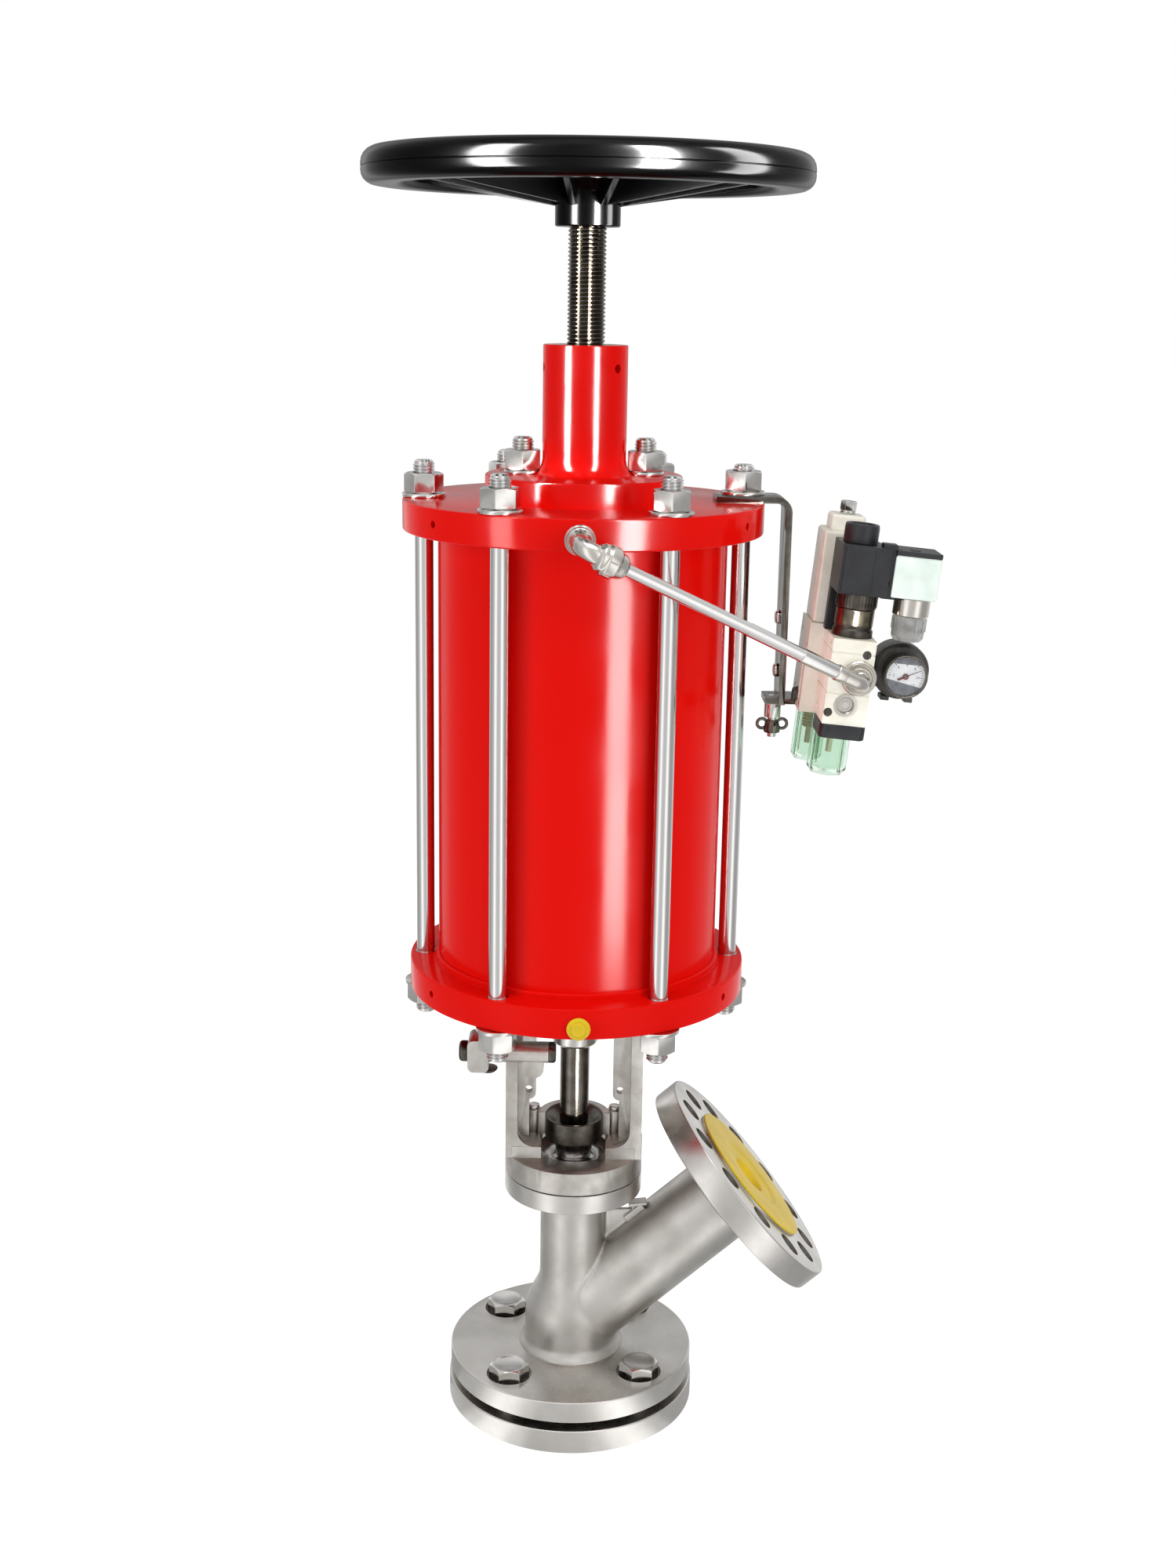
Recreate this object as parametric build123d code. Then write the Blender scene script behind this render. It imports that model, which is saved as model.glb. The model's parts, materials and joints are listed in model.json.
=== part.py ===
from build123d import *
import math
import os

# Pneumatic discharge valve: a flanged body with a slanted outlet, a yoke, a tie-rod
# cylinder with a screw override and handwheel, and an air set on a bent strip.
# Millimetres, +Z up, origin at the centre of the lower face of the tank pad.

# Tank pad, gasket gap and body flange
tank_pad_diameter = 172.0
tank_pad_thickness = 16.5
body_flange_margin = 1.0
body_flange_thickness = 15.2
raised_face_diameter = 102.0
raised_face_height = 2.0
flange_gasket_thickness = 1.8
inlet_bore_diameter = 52.0
seat_angle_depth = 2.0

# Body bolts, sunk into the body flange
body_bolt_circle = 127.0
body_bolt_diameter = 16.0
body_bolt_head_across_flats = 24.0
body_bolt_head_height = 10.0
body_bolt_recess_diameter = 31.0
body_bolt_recess_depth = 7.0
body_bolt_count = 4
body_bolt_turn = 45.0
body_bolt_head_turn = 15.0
body_turn = 2.4

# Body: hopper, neck, branch and their walls
hopper_diameter = 65.0
hopper_shoulder_z = 66.0
neck_diameter = 45.0
neck_start_z = 89.0
body_wall = 4.0
weld_bead = 4.0
branch_diameter = 60.3
branch_angle = 40.4
branch_root_z = 57.6
outlet_face_distance = 163.2
web_thickness = 4.0
web_top_drop = 18.0
web_reach = 43.0
lug_thickness = 5.0
lug_stand_off = 2.0
lug_width = 9.0
lug_length = 16.0
lug_place = 84.0
lug_hook_thickness = 3.0
lug_hook_length = 12.0
lug_hook_place = 90.0
lug_hook_angle = 35.0

# Outlet flange and its plastic cover
outlet_flange_diameter = 165.0
outlet_flange_thickness = 18.6
outlet_raised_face_diameter = 102.0
outlet_raised_face_height = 2.0
outlet_bolt_circle = 130.0
outlet_bolt_hole_diameter = 17.5
outlet_bolt_hole_count = 12
outlet_hub_diameter = 72.0
outlet_hub_height = 10.5
cover_diameter = 105.0
cover_thickness = 3.0
cover_dish_diameter = 54.0
cover_dish_depth = 3.5
cover_well_diameter = 27.0
cover_well_depth = 10.0
cover_skirt_length = 12.0
cover_wall = 2.0
cover_clearance = 0.4

# Bonnet joint, stuffing box, packing and gland
bonnet_joint_z = 157.0
bonnet_flange_diameter = 95.0
body_bonnet_flange_thickness = 13.5
bonnet_gasket_thickness = 1.0
bonnet_gasket_edge = 1.0
bonnet_gasket_overlap = 2.5
yoke_flange_thickness = 15.5
stuffing_flange_diameter = 64.0
stuffing_flange_thickness = 5.0
stuffing_boss_diameter = 42.0
stuffing_boss_height = 10.5
packing_chamber_diameter = 30.0
packing_ring_height = 6.0
packing_ring_count = 5
guide_length = 15.0
follower_step_height = 3.3
follower_neck_diameter = 24.0
follower_head_diameter = 27.0
gland_ring_diameter = 39.6
gland_ring_rise = 7.5
gland_ring_height = 15.0
gland_ring_cup_depth = 4.0
gland_ring_cup_floor = 3.0
gland_ring_lip = 1.5
gland_clamp_height = 16.0
gland_clamp_wall = 5.0
gland_clamp_ear_angle = 15.0
gland_clamp_ear_radius = 29.0
gland_clamp_ear_diameter = 10.0
gland_screw_diameter = 5.0
gland_screw_head_diameter = 8.0
gland_screw_head_height = 3.0

# Stem, disc and stroke
stem_diameter = 20.0
stem_mark_rise = 3.4
stem_mark_width = 0.8
stem_mark_depth = 0.4
stem_spigot_diameter = 12.0
stem_spigot_length = 8.4
valve_stroke = 25.0
disc_thickness = 14.0
disc_hub_overhang = 4.0
seal_ring_section = 3.5
running_clearance = 0.05
seat_gap = 0.3

# Yoke
yoke_well_diameter = 55.0
yoke_turn = -1.5
yoke_arm_outer_x = 46.5
yoke_arm_inner_x = 38.5
yoke_arm_width = 44.0
yoke_foot_height = 8.0
yoke_foot_gap = 34.0
yoke_foot_corner = 12.0
yoke_foot_web = 8.0
yoke_pad_bore_diameter = 48.0
yoke_pad_tip = 5.0
yoke_height = 122.5
yoke_brow_drop = 25.5
yoke_rib_inner_x = 31.0
yoke_rib_width = 6.0
yoke_tab_inner_x = 26.5
yoke_tab_width = 6.0
yoke_tab_end_rise = 35.0
yoke_tab_hole_diameter = 5.0
yoke_top_flange_diameter = 124.0
yoke_top_flange_thickness = 13.0

# Cast clamp on the left arm of the yoke
clamp_barrel_diameter = 14.0
clamp_y = -50.0
clamp_drop = 33.5
clamp_left_x = -58.0
clamp_right_x = -17.0
clamp_block_width = 14.0
clamp_block_height = 22.0
clamp_lug_length = 17.0
clamp_bolt_diameter = 8.0
clamp_bolt_head_diameter = 14.0
clamp_stud_diameter = 13.0
clamp_stud_x = -57.0
clamp_stud_length = 14.0
clamp_block_overlap = 2.0
clamp_block_rounding = 4.0
clamp_lug_thickness = 8.0
clamp_lug_inset = 3.0
clamp_lug_rounding = 6.3
clamp_saddle_margin = 4.0
clamp_bolt_head_height = 6.0
clamp_bolt_head_rounding = 2.5
clamp_bolt_nut_height = 5.0
clamp_bolt_nut_rounding = 2.0

# Cylinder: heads, tube and tie rods
lower_head_margin = 10.0
lower_head_thickness = 20.0
cylinder_length = 285.8
top_head_margin = 13.5
top_head_thickness = 19.5
tube_outer_diameter = 186.0
tube_wall = 6.0
tube_groove_depth = 4.0
tube_lip_height = 4.0
tube_lip_width = 2.5
tube_gasket_thickness = 1.5
tube_to_rod_gap = 3.0
tie_rod_count = 6
tie_rod_diameter = 12.0
tie_rod_end_diameter = 14.0
nut_across_flats = 22.0
nut_height = 12.8
nut_turn = 30.0
nut_turn_step = 12.0
washer_diameter = 28.0
washer_thickness = 2.5
thread_stand_out = 8.0
head_rim_hole_diameter = 4.5
head_rim_hole_depth = 8.0
lower_rim_hole_angles = (-148.0, -32.0, 148.0, 32.0)
top_rim_hole_angles = (-143.0, -30.0, 143.0, 30.0)
head_edge = 1.0

# Piston
piston_thickness = 24.0
piston_stand_off = 3.0
piston_clearance = 0.4
piston_groove_depth = 5.0
piston_seal_height = 5.0
piston_nut_height = 14.0
piston_nut_across_flats = 30.0
piston_thread_diameter = 16.0
piston_thread_stand_out = 4.0

# Guide bush in the lower head
rod_bush_outer_diameter = 31.0
rod_bush_drop = 45.9
rod_bush_flange_diameter = 46.0
rod_bush_flange_thickness = 5.0

# Override housing, nut, spindle and thrust pad
housing_flange_diameter = 126.0
housing_flange_thickness = 15.5
housing_tube_diameter = 53.5
housing_tube_bore = 37.0
housing_tube_length = 80.7
housing_foot_diameter = 66.0
housing_foot_height = 9.0
housing_grub_angles = (-42.0, -170.0)
housing_stud_circle = 78.0
housing_stud_count = 2
housing_grub_hole_diameter = 5.5
housing_grub_hole_drop = 14.0
spindle_nut_length = 40.0
spindle_diameter = 24.0
spindle_plain_diameter = 20.0
spindle_thread_below_nut = 14.0
spindle_shown_length = 71.0
spindle_end_diameter = 12.0
spindle_end_length = 9.0
thrust_pad_diameter = 40.0
thrust_pad_thickness = 14.0
override_travel = 40.0
travel_margin = 0.6

# Handwheel
wheel_diameter = 279.0
wheel_parting_rise = 32.7
wheel_rim_below = 10.0
wheel_rim_above = 12.0
wheel_rim_width = 25.0
wheel_rim_corner = 7.0
wheel_hub_diameter = 40.6
wheel_hub_above_parting = 3.3
wheel_spoke_count = 6
wheel_spoke_width_hub = 26.0
wheel_spoke_width_rim = 34.0
wheel_spoke_thickness = 5.0
wheel_rib_thickness = 4.0
wheel_rib_depth = 7.0
wheel_rib_hub_depth = 18.0
wheel_cone_diameter = 64.0
wheel_nut_across_flats = 24.0
wheel_nut_height = 11.0
wheel_end_diameter = 16.0

# Bent strip that carries the air set
strip_width = 30.0
strip_thickness = 4.0
strip_inner_reach = 18.0
strip_outer_reach = 30.6
strip_bend_radius = 8.0
strip_drop = 134.3
strip_foot_inward = 12.6
strip_foot_width = 24.0
strip_screw_diameter = 5.0
strip_screw_head_diameter = 9.0
strip_screw_head_height = 3.0
strip_screw_rises = (55.5, 20.5)
wing_bolt_diameter = 6.0
wing_bolt_inward = 6.1
wing_bolt_length = 24.0
wing_nut_drop = 21.0
wing_nut_height = 10.0
wing_nut_span = 22.0
wing_nut_hub = 11.0
wing_nut_body_height = 8.0
wing_nut_wing_thickness = 3.0
wing_nut_rounding = 3.0

# Air set: solenoid valve in front, filter regulator behind, gauge at the side
air_tilt = 5.5
air_from_strip = 32.9
air_front_y = -70.0
air_above_foot = 26.1
block_width = 27.0
block_height = 54.0
block_depth = 40.0
block_axis_y = 18.0
upper_port_x = 5.0
upper_port_z = 4.0
lower_port_x = -0.6
lower_port_z = -14.2
block_port_diameter = 11.0
block_port_depth = 12.0
end_cap_height = 9.0
end_cap_width = 29.0
end_cap_depth = 34.0
end_cap_rounding = 5.0
armature_diameter = 24.0
armature_base_height = 5.0
armature_band_height = 13.0
armature_ring_height = 9.5
armature_ring_diameter = 25.5
coil_width = 30.5
coil_height = 30.5
coil_depth = 30.0
coil_front = 1.5
coil_back_plate = 7.5
coil_back_reach = 27.0
coil_nut_diameter = 21.5
coil_nut_height = 12.0
coil_nut_shift = -3.0
coil_nut_chamfer = 1.5
coil_nut_hollow_diameter = 12.9
coil_nut_hollow_depth = 2.0
coil_bridge_overlap = 1.0
coil_bridge_depth = 19.6
coil_bridge_height = 22.8
coil_bridge_inset = 4.0
coil_bridge_rise = 3.0
connector_width = 28.5
connector_height = 28.5
connector_depth = 28.0
connector_gap = 2.5
connector_rounding = 1.5
cable_gland_diameter = 20.0
cable_gland_height = 25.0
cable_gland_collar_height = 10.0
cable_gland_cup_diameter = 18.4
cable_gland_bore_depth = 20.0
cable_gland_bore = 9.0
cable_gland_shift = 2.0
regulator_left_x = -23.0
regulator_body_width = 38.0
regulator_body_depth = 40.0
regulator_body_bottom = -29.0
regulator_body_top = 29.0
regulator_bonnet_width = 34.0
regulator_bonnet_depth = 34.0
regulator_bonnet_top = 88.0
regulator_cap_width = 22.0
regulator_cap_height = 10.0
regulator_corner_rounding = 4.0
regulator_screw_hole_depth = 30.0
adjusting_screw_diameter = 6.0
adjusting_screw_head = 9.0
adjusting_screw_length = 20.0
adjusting_screw_reach = 14.0
adjusting_screw_flange_diameter = 9.9
adjusting_screw_flange_height = 2.0
adjusting_screw_head_height = 6.0
adjusting_screw_shift = -7.0
bowl_collar_height = 5.0
bowl_diameter = 26.0
bowl_height = 36.0
bowl_wall = 2.0
bowl_outer_rounding_share = 0.25
bowl_inner_rounding_share = 0.2
bowl_shift_x = 2.0
bowl_shift_y = 13.5
small_bowl_diameter = 20.0
small_bowl_height = 33.0
small_bowl_shift_x = -9.5
small_bowl_shift_y = 34.0
element_diameter = 11.0
element_height = 16.0
element_stem_diameter = 3.85
element_stem_share = 0.5
gauge_body_diameter = 36.0
gauge_body_depth = 24.0
gauge_body_front = 20.0
gauge_body_extra_depth = 4.0
gauge_body_chamfer = 2.0
gauge_foot_width = 14.0
gauge_foot_depth = 12.0
gauge_foot_shift = 4.0
gauge_foot_inset = 6.0
gauge_foot_drop = 22.0
gauge_x = 35.0
gauge_z = 7.0
gauge_link_height = 16.0
gauge_case_diameter = 28.5
gauge_case_depth = 18.0
gauge_dial_diameter = 24.5
gauge_dial_thickness = 0.8
gauge_lens_thickness = 1.2
gauge_rim_depth = 2.6
gauge_case_rounding = 1.2
gauge_pointer_length = 9.0
gauge_pointer_width = 1.6
gauge_pointer_thickness = 0.7
gauge_pointer_rise = 0.3
gauge_pointer_boss_diameter = 4.0
gauge_pointer_start = 1.5
gauge_pointer_tail_length = 4.0
gauge_pointer_tail_x = -3.5
gauge_pin_diameter = 2.0
gauge_pin_height = 2.0
gauge_pointer_angle = 27.0

# Air line from the top head to the valve block
line_port_x = -3.5
line_port_rise = 7.2
line_head_reach = 32.5
line_block_reach = 25.0
line_tube_diameter = 7.0
line_collar_diameter = 18.8
line_neck_diameter = 11.0
line_bend_radius = 9.0
line_head_leg = 14.0
line_block_leg = 20.0
line_sleeve_diameter = 9.4
line_union_across_flats = 16.0
line_union_length = 17.0
line_dish_diameter = 19.0
line_dish_depth = 8.0
line_collar_length = 6.0
line_union_overlap = 2.0

# Yellow plug in the lower port
plug_diameter = 15.0
plug_head = 4.0
plug_shank_diameter = 11.0
plug_shank_length = 9.0
plug_chamfer = 1.5

# Derived diameters and places
body_flange_diameter = tank_pad_diameter - 2 * body_flange_margin
tie_rod_circle = tube_outer_diameter + 2 * tube_to_rod_gap + tie_rod_diameter
lower_head_diameter = tie_rod_circle + 2 * lower_head_margin
top_head_diameter = tie_rod_circle + 2 * top_head_margin
strip_inner_x = tie_rod_circle / 2 - strip_inner_reach
strip_outer_x = tie_rod_circle / 2 + strip_outer_reach
strip_foot_left_x = strip_outer_x - strip_foot_inward
wing_bolt_x = strip_outer_x - wing_bolt_inward
air_x = strip_outer_x + air_from_strip
line_corner_y = -top_head_diameter / 2 - line_head_reach
line_block_corner_y = air_front_y - line_block_reach

# Derived levels
tank_pad_top_z = tank_pad_thickness
body_flange_gap = 2 * raised_face_height + flange_gasket_thickness
body_flange_bottom_z = tank_pad_top_z + body_flange_gap
body_flange_top_z = body_flange_bottom_z + body_flange_thickness
body_bonnet_top_z = bonnet_joint_z + body_bonnet_flange_thickness
yoke_flange_bottom_z = body_bonnet_top_z + bonnet_gasket_thickness
yoke_flange_top_z = yoke_flange_bottom_z + yoke_flange_thickness
web_top_z = bonnet_joint_z - web_top_drop
gland_ring_bottom_z = yoke_flange_top_z + gland_ring_rise
stem_mark_z = gland_ring_bottom_z + gland_ring_height + stem_mark_rise
lower_head_bottom_z = yoke_flange_top_z + yoke_height
yoke_window_top_z = lower_head_bottom_z - yoke_brow_drop
yoke_tab_end_z = yoke_flange_top_z + yoke_tab_end_rise
clamp_z = lower_head_bottom_z - clamp_drop
rod_bush_bottom_z = lower_head_bottom_z - rod_bush_drop
lower_head_top_z = lower_head_bottom_z + lower_head_thickness
top_head_bottom_z = lower_head_top_z + cylinder_length
top_head_top_z = top_head_bottom_z + top_head_thickness
housing_flange_top_z = top_head_top_z + housing_flange_thickness
housing_top_z = housing_flange_top_z + housing_tube_length
housing_grub_hole_z = housing_top_z - housing_grub_hole_drop
spindle_thread_start_z = housing_top_z - spindle_nut_length - spindle_thread_below_nut
wheel_hub_bottom_z = housing_top_z + spindle_shown_length
wheel_parting_z = wheel_hub_bottom_z + wheel_parting_rise
wheel_hub_top_z = wheel_parting_z + wheel_hub_above_parting
strip_foot_z = top_head_top_z + strip_thickness - strip_drop
wing_bolt_end_z = strip_foot_z - wing_bolt_length
wing_nut_z = strip_foot_z - wing_nut_drop
air_z = strip_foot_z + air_above_foot
line_port_z = top_head_bottom_z + line_port_rise
piston_bottom_z = lower_head_top_z + piston_stand_off
piston_top_z = piston_bottom_z + piston_thickness
stem_top_z = piston_top_z + piston_nut_height + piston_thread_stand_out
thrust_pad_bottom_z = stem_top_z + valve_stroke + override_travel + travel_margin
thrust_pad_top_z = thrust_pad_bottom_z + thrust_pad_thickness
wheel_nut_top_z = wheel_hub_top_z + wheel_nut_height
tube_inner_diameter = tube_outer_diameter - 2 * tube_wall
piston_diameter = tube_inner_diameter - 2 * piston_clearance
branch_bore = branch_diameter - 2 * body_wall
hopper_bore = hopper_diameter - 2 * body_wall
neck_bore = neck_diameter - 2 * body_wall
seat_face_z = tank_pad_top_z + raised_face_height
disc_bottom_z = seat_face_z - seat_angle_depth
disc_top_z = disc_bottom_z + disc_thickness

os.makedirs("parts", exist_ok=True)
bottom_up = (Align.CENTER, Align.CENTER, Align.MIN)
branch_radians = math.radians(branch_angle)
body_rotation = Rot(0, 0, body_turn)


def rod(diameter, height, z=0.0, x=0.0, y=0.0):
    return Pos(x, y, z) * Cylinder(diameter / 2, height, align=bottom_up)


def ring(outer, inner, height, z=0.0, x=0.0, y=0.0):
    body = rod(outer, height, z, x, y)
    return body - rod(inner, height, z, x, y)


def turned(points):
    """A solid of revolution about Z from radius and height points."""
    outline = make_face(Polyline(*points, close=True).edges())
    return revolve(Plane.XZ * outline, Axis.Z)


def block(width, depth, height, x=0.0, y=0.0, z=0.0):
    return Pos(x, y, z) * Box(width, depth, height, align=bottom_up)


def on_circle(diameter, count, start=0.0):
    places = []
    for index in range(count):
        angle = math.radians(start + 360.0 * index / count)
        places.append((diameter / 2 * math.cos(angle), diameter / 2 * math.sin(angle)))
    return places


def hexagon(across_flats, height, z=0.0, turn=0.0):
    outline = RegularPolygon(across_flats / 2, 6, major_radius=False)
    return Pos(0, 0, z) * Rot(0, 0, turn) * extrude(outline, height)


def hex_nut(across_flats, height, bore, turn=0.0, both_ends=True):
    """A nut or bolt head whose corners are turned off by a 30 degree chamfer."""
    corner = across_flats / math.cos(math.radians(30)) / 2
    fall = (corner - across_flats / 2 * 0.98) * math.tan(math.radians(30))
    low = fall if both_ends else 0.0
    outline = [
        (0, 0),
        (corner if not both_ends else across_flats / 2 * 0.98, 0),
        (corner, low),
        (corner, height - fall),
        (across_flats / 2 * 0.98, height),
        (0, height),
    ]
    if not both_ends:
        outline.pop(2)
    nut = hexagon(across_flats, height, 0, turn) & turned(outline)
    if bore > 0:
        nut = nut - rod(bore, height)
    return nut


def threaded_end(diameter, length, z):
    """The stand-out end of a stud, with a rounded tip."""
    tip = diameter * 0.14
    return Pos(0, 0, z) * turned([
        (0, 0),
        (diameter / 2, 0),
        (diameter / 2, length - tip),
        (diameter / 2 - tip, length),
        (0, length),
    ])


def save(name, shape):
    """Writes one piece; a list of equal pieces goes into one file."""
    if isinstance(shape, list):
        shape = Compound(children=shape)
    export_step(shape, "parts/" + name + ".step")


def in_body_frame(shape):
    return body_rotation * shape


# Tank pad
def tank_pad():
    pad = rod(tank_pad_diameter, tank_pad_thickness)
    pad += rod(raised_face_diameter, raised_face_height, tank_pad_top_z)
    pad -= rod(inlet_bore_diameter, seat_face_z)
    pad -= turned([
        (0, disc_bottom_z),
        (inlet_bore_diameter / 2, disc_bottom_z),
        (inlet_bore_diameter / 2 + seat_angle_depth, seat_face_z),
        (0, seat_face_z),
    ])
    for x, y in on_circle(body_bolt_circle, body_bolt_count, body_bolt_turn):
        pad -= rod(body_bolt_diameter, tank_pad_thickness, 0, x, y)
    return in_body_frame(pad)


def flange_gasket():
    inner = inlet_bore_diameter + 2 * seat_angle_depth + 2 * seat_gap
    return ring(raised_face_diameter, inner, flange_gasket_thickness, seat_face_z)


def body_bolts():
    bolts = []
    seat_z = body_flange_top_z - body_bolt_recess_depth
    for x, y in on_circle(body_bolt_circle, body_bolt_count, body_bolt_turn):
        bolt = rod(body_bolt_diameter, seat_z - running_clearance, running_clearance)
        across = body_bolt_head_across_flats
        head = hex_nut(across, body_bolt_head_height, 0, body_bolt_head_turn, False)
        bolt += Pos(0, 0, seat_z) * head
        bolts.append(body_rotation * Pos(x, y, 0) * bolt)
    return bolts


# Valve body: flange, hopper, neck, slanted branch and the web between them
def branch_cylinder(diameter, start, end):
    """A round bar along the branch axis between two distances from its root."""
    place = Pos(0, 0, branch_root_z) * Rot(0, 90 - branch_angle, 0)
    return place * rod(diameter, end - start, start)


def body_outside():
    neck_radius = neck_diameter / 2
    hopper_radius = hopper_diameter / 2
    shell = rod(body_flange_diameter, body_flange_thickness, body_flange_bottom_z)
    face_z = body_flange_bottom_z - raised_face_height
    shell += rod(raised_face_diameter, raised_face_height, face_z)
    shoulder = Spline(
        (hopper_radius, hopper_shoulder_z),
        (neck_radius, neck_start_z),
        tangents=((0, 1), (0, 1)),
    )
    outline = [
        shoulder,
        Polyline(
            (neck_radius, neck_start_z),
            (neck_radius, bonnet_joint_z),
            (0, bonnet_joint_z),
            (0, body_flange_top_z),
            (hopper_radius + weld_bead, body_flange_top_z),
            (hopper_radius, body_flange_top_z + weld_bead),
            (hopper_radius, hopper_shoulder_z),
        ),
    ]
    shell += revolve(Plane.XZ * make_face(outline), Axis.Z)
    shell += rod(bonnet_flange_diameter, body_bonnet_flange_thickness, bonnet_joint_z)
    return shell


def body_web():
    """The flat plate between neck and branch, under the bonnet flange."""
    outline = Polyline(
        (0, neck_start_z),
        (web_reach, neck_start_z),
        (web_reach, web_top_z),
        (0, web_top_z),
        close=True,
    )
    plate = extrude(Plane.XZ * make_face(outline.edges()), web_thickness / 2, both=True)
    return plate


def body_lug():
    """A small bent rest welded on the upper side of the branch."""
    foot = Pos(0, 0, branch_root_z) * Rot(0, 90 - branch_angle, 0)
    radius = branch_diameter / 2
    strap = Pos(-radius - lug_stand_off, 0, lug_place) * Box(lug_thickness, lug_width, lug_length)
    hook = Pos(-radius - lug_thickness, 0, lug_hook_place) * Rot(0, lug_hook_angle, 0)
    hook = hook * Box(lug_hook_thickness, lug_width, lug_hook_length)
    return foot * (strap + hook)


def valve_body():
    branch_end = outlet_face_distance - outlet_flange_thickness
    shell = body_outside()
    shell += branch_cylinder(branch_diameter, 0, branch_end)
    shell += body_web()
    shell += body_lug()
    inside = rod(hopper_bore, hopper_shoulder_z - body_flange_bottom_z + raised_face_height,
                 body_flange_bottom_z - raised_face_height)
    inside += turned([
        (0, hopper_shoulder_z),
        (hopper_bore / 2, hopper_shoulder_z),
        (neck_bore / 2, neck_start_z),
        (0, neck_start_z),
    ])
    inside += rod(neck_bore, body_bonnet_top_z - neck_start_z, neck_start_z)
    inside += branch_cylinder(branch_bore, 0, outlet_face_distance)
    stuffing_seat_z = body_bonnet_top_z - stuffing_flange_thickness
    inside += rod(stuffing_flange_diameter, stuffing_flange_thickness, stuffing_seat_z)
    shell -= inside
    for x, y in on_circle(body_bolt_circle, body_bolt_count, body_bolt_turn):
        shell -= rod(body_bolt_diameter + 2.0, body_flange_thickness, body_flange_bottom_z, x, y)
        recess_z = body_flange_top_z - body_bolt_recess_depth
        shell -= rod(body_bolt_recess_diameter, body_bolt_recess_depth, recess_z, x, y)
    below = block(tank_pad_diameter, tank_pad_diameter, tank_pad_top_z, 0, 0, 0)
    shell -= below
    return in_body_frame(shell)


# Outlet flange
def outlet_frame(distance):
    place = Pos(0, 0, branch_root_z) * Rot(0, 90 - branch_angle, 0)
    return body_rotation * place * Pos(0, 0, distance)


def outlet_flange():
    depth = outlet_flange_thickness
    face = outlet_raised_face_height
    plate = rod(outlet_flange_diameter, depth - face, 0)
    plate += rod(outlet_raised_face_diameter, face, depth - face)
    plate += ring(outlet_hub_diameter, branch_diameter, outlet_hub_height, -outlet_hub_height)
    plate -= rod(branch_bore, depth)
    for x, y in on_circle(outlet_bolt_circle, outlet_bolt_hole_count):
        plate -= rod(outlet_bolt_hole_diameter, depth, 0, x, y)
    return outlet_frame(outlet_face_distance - depth) * plate


def outlet_cover():
    """A push-in moulded cover: a disc with a shallow dish, a finger well and a skirt in the bore."""
    skirt_radius = branch_bore / 2 - cover_clearance
    well_radius = cover_well_diameter / 2
    step_z = cover_thickness - cover_dish_depth
    floor_z = cover_thickness - cover_well_depth
    outline = [
        (0, floor_z - cover_wall),
        (well_radius, floor_z - cover_wall),
        (well_radius + cover_wall, step_z - cover_wall),
        (skirt_radius - cover_wall, seat_gap),
        (skirt_radius - cover_wall, -cover_skirt_length),
        (skirt_radius, -cover_skirt_length),
        (skirt_radius, seat_gap),
        (cover_diameter / 2, seat_gap),
        (cover_diameter / 2, cover_thickness),
        (cover_dish_diameter / 2, cover_thickness),
        (well_radius, step_z),
        (well_radius - cover_wall, floor_z),
        (0, floor_z),
    ]
    return outlet_frame(outlet_face_distance) * turned(outline)


# Stuffing box and packing
def stuffing_box():
    seat_z = body_bonnet_top_z - stuffing_flange_thickness
    floor_z = seat_z - packing_ring_count * packing_ring_height
    barrel_bottom_z = floor_z - guide_length
    barrel_diameter = neck_bore - 2 * running_clearance
    box = rod(barrel_diameter, seat_z - barrel_bottom_z, barrel_bottom_z)
    box += rod(stuffing_flange_diameter - 2 * running_clearance, stuffing_flange_thickness, seat_z)
    box += rod(stuffing_boss_diameter, stuffing_boss_height, body_bonnet_top_z)
    top_z = body_bonnet_top_z + stuffing_boss_height
    box -= rod(packing_chamber_diameter, top_z - floor_z, floor_z)
    box -= rod(stem_diameter + 2 * running_clearance, guide_length, barrel_bottom_z)
    return box


def bonnet_gasket():
    outer = bonnet_flange_diameter - 2 * bonnet_gasket_edge
    hole = stuffing_flange_diameter - 2 * bonnet_gasket_overlap
    return ring(outer, hole, bonnet_gasket_thickness, body_bonnet_top_z)


def packing_rings():
    floor_z = body_bonnet_top_z - stuffing_flange_thickness - packing_ring_count * packing_ring_height
    rings = []
    for index in range(packing_ring_count):
        outer = packing_chamber_diameter - 2 * running_clearance
        inner = stem_diameter + 2 * running_clearance
        z = floor_z + index * packing_ring_height
        rings.append(ring(outer, inner, packing_ring_height - running_clearance, z))
    return rings


def gland_follower():
    """A sleeve that presses on the packing, with a stepped, flaring head."""
    bottom_z = body_bonnet_top_z - stuffing_flange_thickness
    chamber_top_z = body_bonnet_top_z + stuffing_boss_height
    step_z = chamber_top_z + follower_step_height
    inner = stem_diameter / 2 + running_clearance
    outer = packing_chamber_diameter / 2 - 2 * running_clearance
    neck = follower_neck_diameter / 2
    return turned([
        (inner, bottom_z),
        (outer, bottom_z),
        (outer, chamber_top_z - head_edge),
        (neck, chamber_top_z),
        (neck, step_z),
        (neck + head_edge / 2, step_z),
        (follower_head_diameter / 2, gland_ring_bottom_z),
        (inner, gland_ring_bottom_z),
    ])


def gland_ring():
    top_z = gland_ring_bottom_z + gland_ring_height
    body = rod(gland_ring_diameter, gland_ring_height, gland_ring_bottom_z)
    body -= rod(stem_diameter + 2 * running_clearance, gland_ring_height, gland_ring_bottom_z)
    cup_z = top_z - gland_ring_cup_depth
    body -= turned([
        (0, cup_z),
        (stem_diameter / 2 + gland_ring_cup_floor, cup_z),
        (gland_ring_diameter / 2 - gland_ring_lip, top_z),
        (0, top_z),
    ])
    return body


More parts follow.
